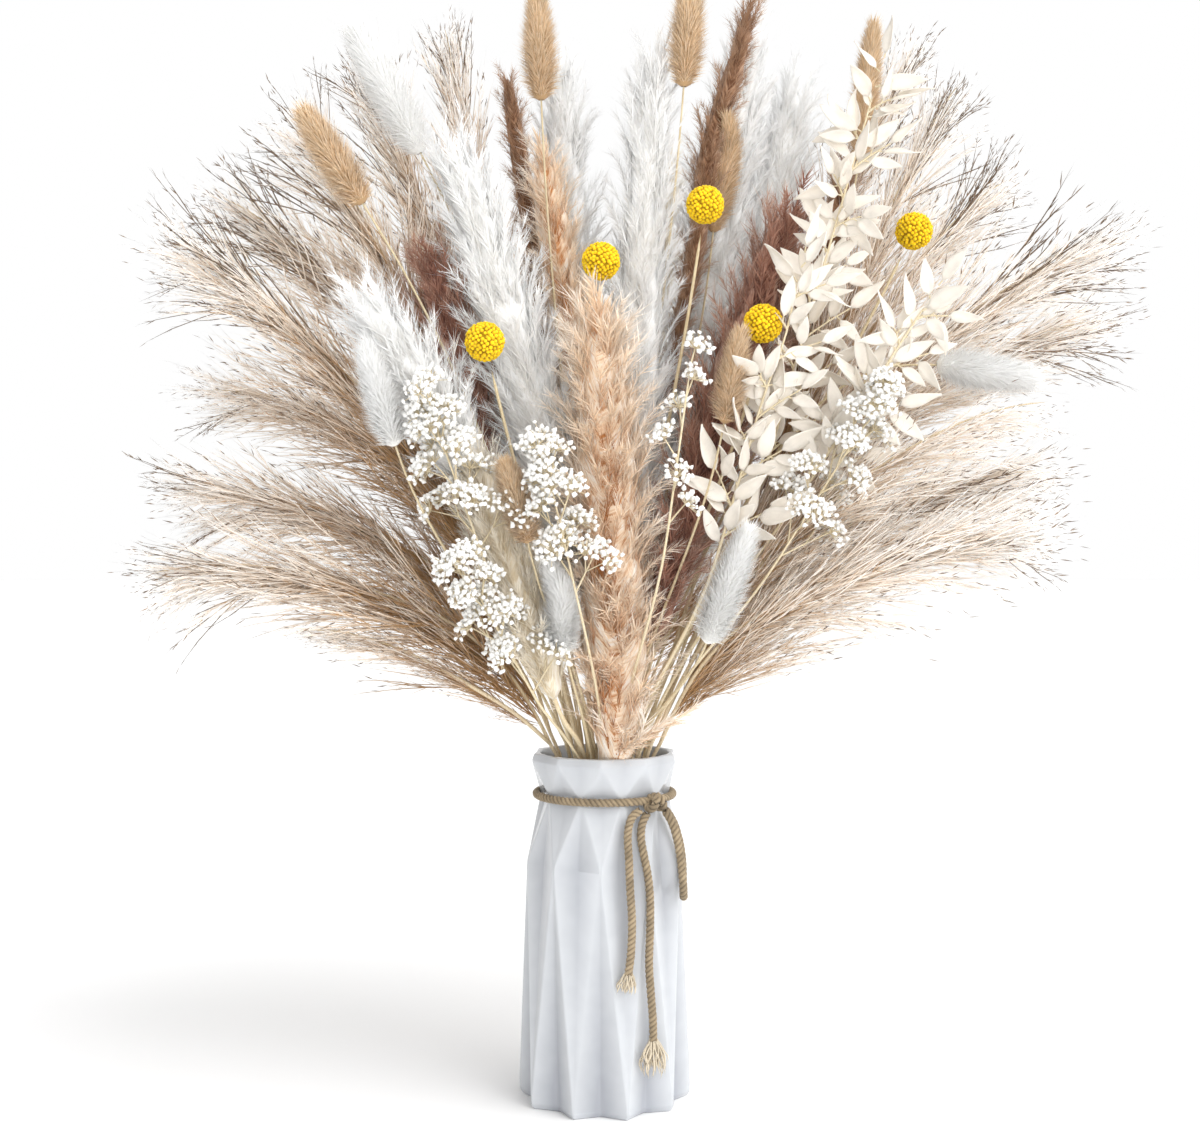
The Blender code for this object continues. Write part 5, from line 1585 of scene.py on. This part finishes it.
class BOUQUET_OT_ruscus(bpy.types.Operator):
    """Grows the bleached ruscus: pale stems with thin pointed leaves"""

    bl_idname = "bouquet.ruscus"
    bl_label = "Grow the Ruscus"

    def execute(self, context):
        settings = context.scene.bouquet.ruscus
        stem = dried_stem("bleached_ruscus_stem", "#F1E6CC", "#D4C196")
        leaf_skin = self.bleached_leaf(settings)
        draw = random.Random("leaves")
        leaves = [self.leaf(draw) for _ in range(5)]
        for (row,) in rows_of("ruscus"):
            bm = new_form()
            join_stalk(bm, row[0], "ruscus", thin=0.45)
            self.add_leaves(bm, row, leaves, settings)
            finished(bm, row[0] + "_leaves", [stem, leaf_skin], [row[0]])
        return {"FINISHED"}

    def leaf(self, draw):
        """A leaf of unit length along Z, facing Y: widest below its middle, pointed, cupped and veined."""
        bm = new_form()
        bmesh.ops.create_grid(bm, x_segments=4, y_segments=7, size=0.5)
        layers = {mark: bm.verts.layers.float[mark] for mark in MARKS}
        bend, twist, cup = draw.uniform(-0.1, 0.34), draw.uniform(-0.9, 0.9), draw.uniform(0.8, 2.4)
        for vert in bm.verts:
            across, up = vert.co.x * 2, vert.co.y + 0.5
            half = 0.185 * math.sin(math.pi * min(1.0, up**0.78)) ** 0.8 + 0.012
            half *= 1 - 0.15 * up
            turn = twist * up
            side = across * half
            lift = cup * side * side * 1.6 + bend * up * up + 0.006 * math.cos(abs(across) * 9)
            if abs(across) < 0.1:
                lift += 0.012
            vert[layers["tip"]] = abs(across)
            vert[layers["reach"]] = up
            vert.co = Matrix.Rotation(turn, 3, "Z") @ Vector((side, lift, up))
        bmesh.ops.recalc_face_normals(bm, faces=bm.faces)
        bmesh.ops.solidify(bm, geom=bm.faces[:], thickness=0.016)
        give_slot(bm, 1)
        return to_template(bm, "leaf")

    def bleached_leaf(self, settings):
        """Bleached ruscus leaf: papery, waxy-smooth, with fine veins along it."""
        made, tree, shader = new_material("bleached_ruscus_leaf", 0.55)
        across, up, tone = (read_mark(tree, mark) for mark in ("tip", "reach", "tone"))
        spot = add_node(tree, "CombineXYZ", {"X": across, "Y": up, "Z": tone})
        # Veins about 0.8 mm apart across a leaf that is 6 mm wide on each side of its rib
        wave = add_node(tree, "TexWave", {"Vector": spot.outputs[0], "Scale": 2.2, "Distortion": 1.2})
        veins = wave.outputs["Fac"]
        mixed = times_plus(tree, veins, 0.22, noise(tree, object_place(tree), 110.0, 3.0))
        leaf = Vector(settings.leaf)
        hue = ramp(tree, mixed, (0.3, shaded(leaf, 0.8)), (0.55, leaf), (0.85, shaded(leaf, 1.08)))
        coat(tree, shader, hue, veins, 0.25, 0.2 * MM)
        return made

    def add_leaves(self, bm, row, leaves, settings):
        """Leaves in turn up the stem on short stalks, their faces mostly towards the front."""
        name = row[0]
        line = HeadLine(name)
        draw = random.Random(name)
        balls = [LINES[other[0]][-1] for other in PLANTS if other[1] == "ball"]
        twigs = round(line.length / (17 * MM))
        for k in range(twigs):
            share = 0.9 * (k + 0.5) / twigs
            place, out, ahead = line.outward(share, math.pi * (k % 2) + draw.uniform(-1.0, 1.0))
            way = unit(ahead + unit(np.array([out[0], out[1] * 0.6, out[2]])) * draw.uniform(0.6, 1.2))
            length = draw.uniform(20, 36) * (1 - 0.5 * share) * MM * (1.0 if way[0] > ahead[0] else 0.7)
            along = np.linspace(0, 1, 5)[:, None]
            twig = place + way * length * along - 3 * MM * Z_WAY * along * along
            join_thread(bm, twig, 0.7, 0.6, 0.5, 0.4, 0.3)
            size = settings.leaf_length * (1.0 - 0.3 * share)
            self.leaf_out(bm, draw, twig, leaves, size, balls, 4)
        stem = np.array([line.at(share)[0] for share in np.linspace(0, 1, 12)])
        count = round(line.length / (8 * MM))
        self.leaf_out(bm, draw, stem, leaves, settings.leaf_length * 0.9, balls, count)

    def leaf_out(self, bm, draw, stem, leaves, size, balls, count):
        """Leaves up a stem or twig, the last one at its end, on short stalks and facing mostly the front."""
        for k in range(count + 1):
            share = (k + 0.5) / (count + 0.5)
            place, ahead = point_on(stem, min(share, 0.999))
            side = unit(np.cross(ahead, -Y_WAY)) * (1 if k % 2 else -1)
            out = unit(side + np.array([0, draw.uniform(-0.9, 0.6), 0]))
            lean = math.radians(draw.uniform(30, 76)) if k < count else 0.1
            way = unit(leant(ahead, out, lean))
            front = np.array([draw.uniform(-0.8, 0.8), -1.0, draw.uniform(-0.5, 0.8)])
            face = unit(front - way * (front @ way))
            length = size * draw.uniform(0.75, 1.15)
            root = place + way * draw.uniform(1.5, 3.5) * MM
            middle = root + way * length / 2
            # None covers a billy ball
            if min(np.linalg.norm((middle - ball)[[0, 2]]) for ball in balls) < 17 * MM:
                continue
            join_thread(bm, [place, (place + root) / 2, root + way * MM], 0.5, 0.42, 0.3)
            matrix = matrix_of(root, np.cross(face, way), face, way, length)
            add_copy(bm, draw.choice(leaves), matrix, tone=draw.random())


class BOUQUET_PT_panel(bpy.types.Panel):
    """Lists the bouquet's pieces with their settings"""

    bl_idname = "BOUQUET_PT_panel"
    bl_label = "Dried Pampas Bouquet"
    bl_space_type = "VIEW_3D"
    bl_region_type = "UI"
    bl_category = "Bouquet"

    def draw(self, context):
        settings = context.scene.bouquet
        for operator, part in OPERATORS:
            box = self.layout.box()
            box.operator(operator.bl_idname)
            group = getattr(settings, part)
            for name in group.bl_rna.properties.keys():
                if name not in ("rna_type", "name"):
                    box.prop(group, name)


# In the order that they run, each with the name of its settings: the camera and the cords come first
OPERATORS = (
    (BOUQUET_OT_stage, "stage"),
    (BOUQUET_OT_rope, "rope"),
    (BOUQUET_OT_vase, "vase"),
    (BOUQUET_OT_pampas, "pampas"),
    (BOUQUET_OT_reeds, "reed"),
    (BOUQUET_OT_bunny_tails, "bunny"),
    (BOUQUET_OT_billy_balls, "ball"),
    (BOUQUET_OT_babys_breath, "breath"),
    (BOUQUET_OT_ruscus, "ruscus"),
)
CLASSES = (
    VaseSettings, RopeSettings, PampasSettings, ReedSettings, BunnySettings, BallSettings, BreathSettings,
    RuscusSettings, StageSettings, BouquetSettings,
    *(operator for operator, _ in OPERATORS), BOUQUET_PT_panel,
)


def register():
    for made in CLASSES:
        bpy.utils.register_class(made)
    bpy.types.Scene.bouquet = PointerProperty(type=BouquetSettings)


def unregister():
    del bpy.types.Scene.bouquet
    for made in reversed(CLASSES):
        bpy.utils.unregister_class(made)


def main():
    """Dresses the whole bouquet."""
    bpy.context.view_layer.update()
    register()
    for operator, _ in OPERATORS:
        group, name = operator.bl_idname.split(".")
        getattr(getattr(bpy.ops, group), name)()


if __name__ == "__main__":
    main()
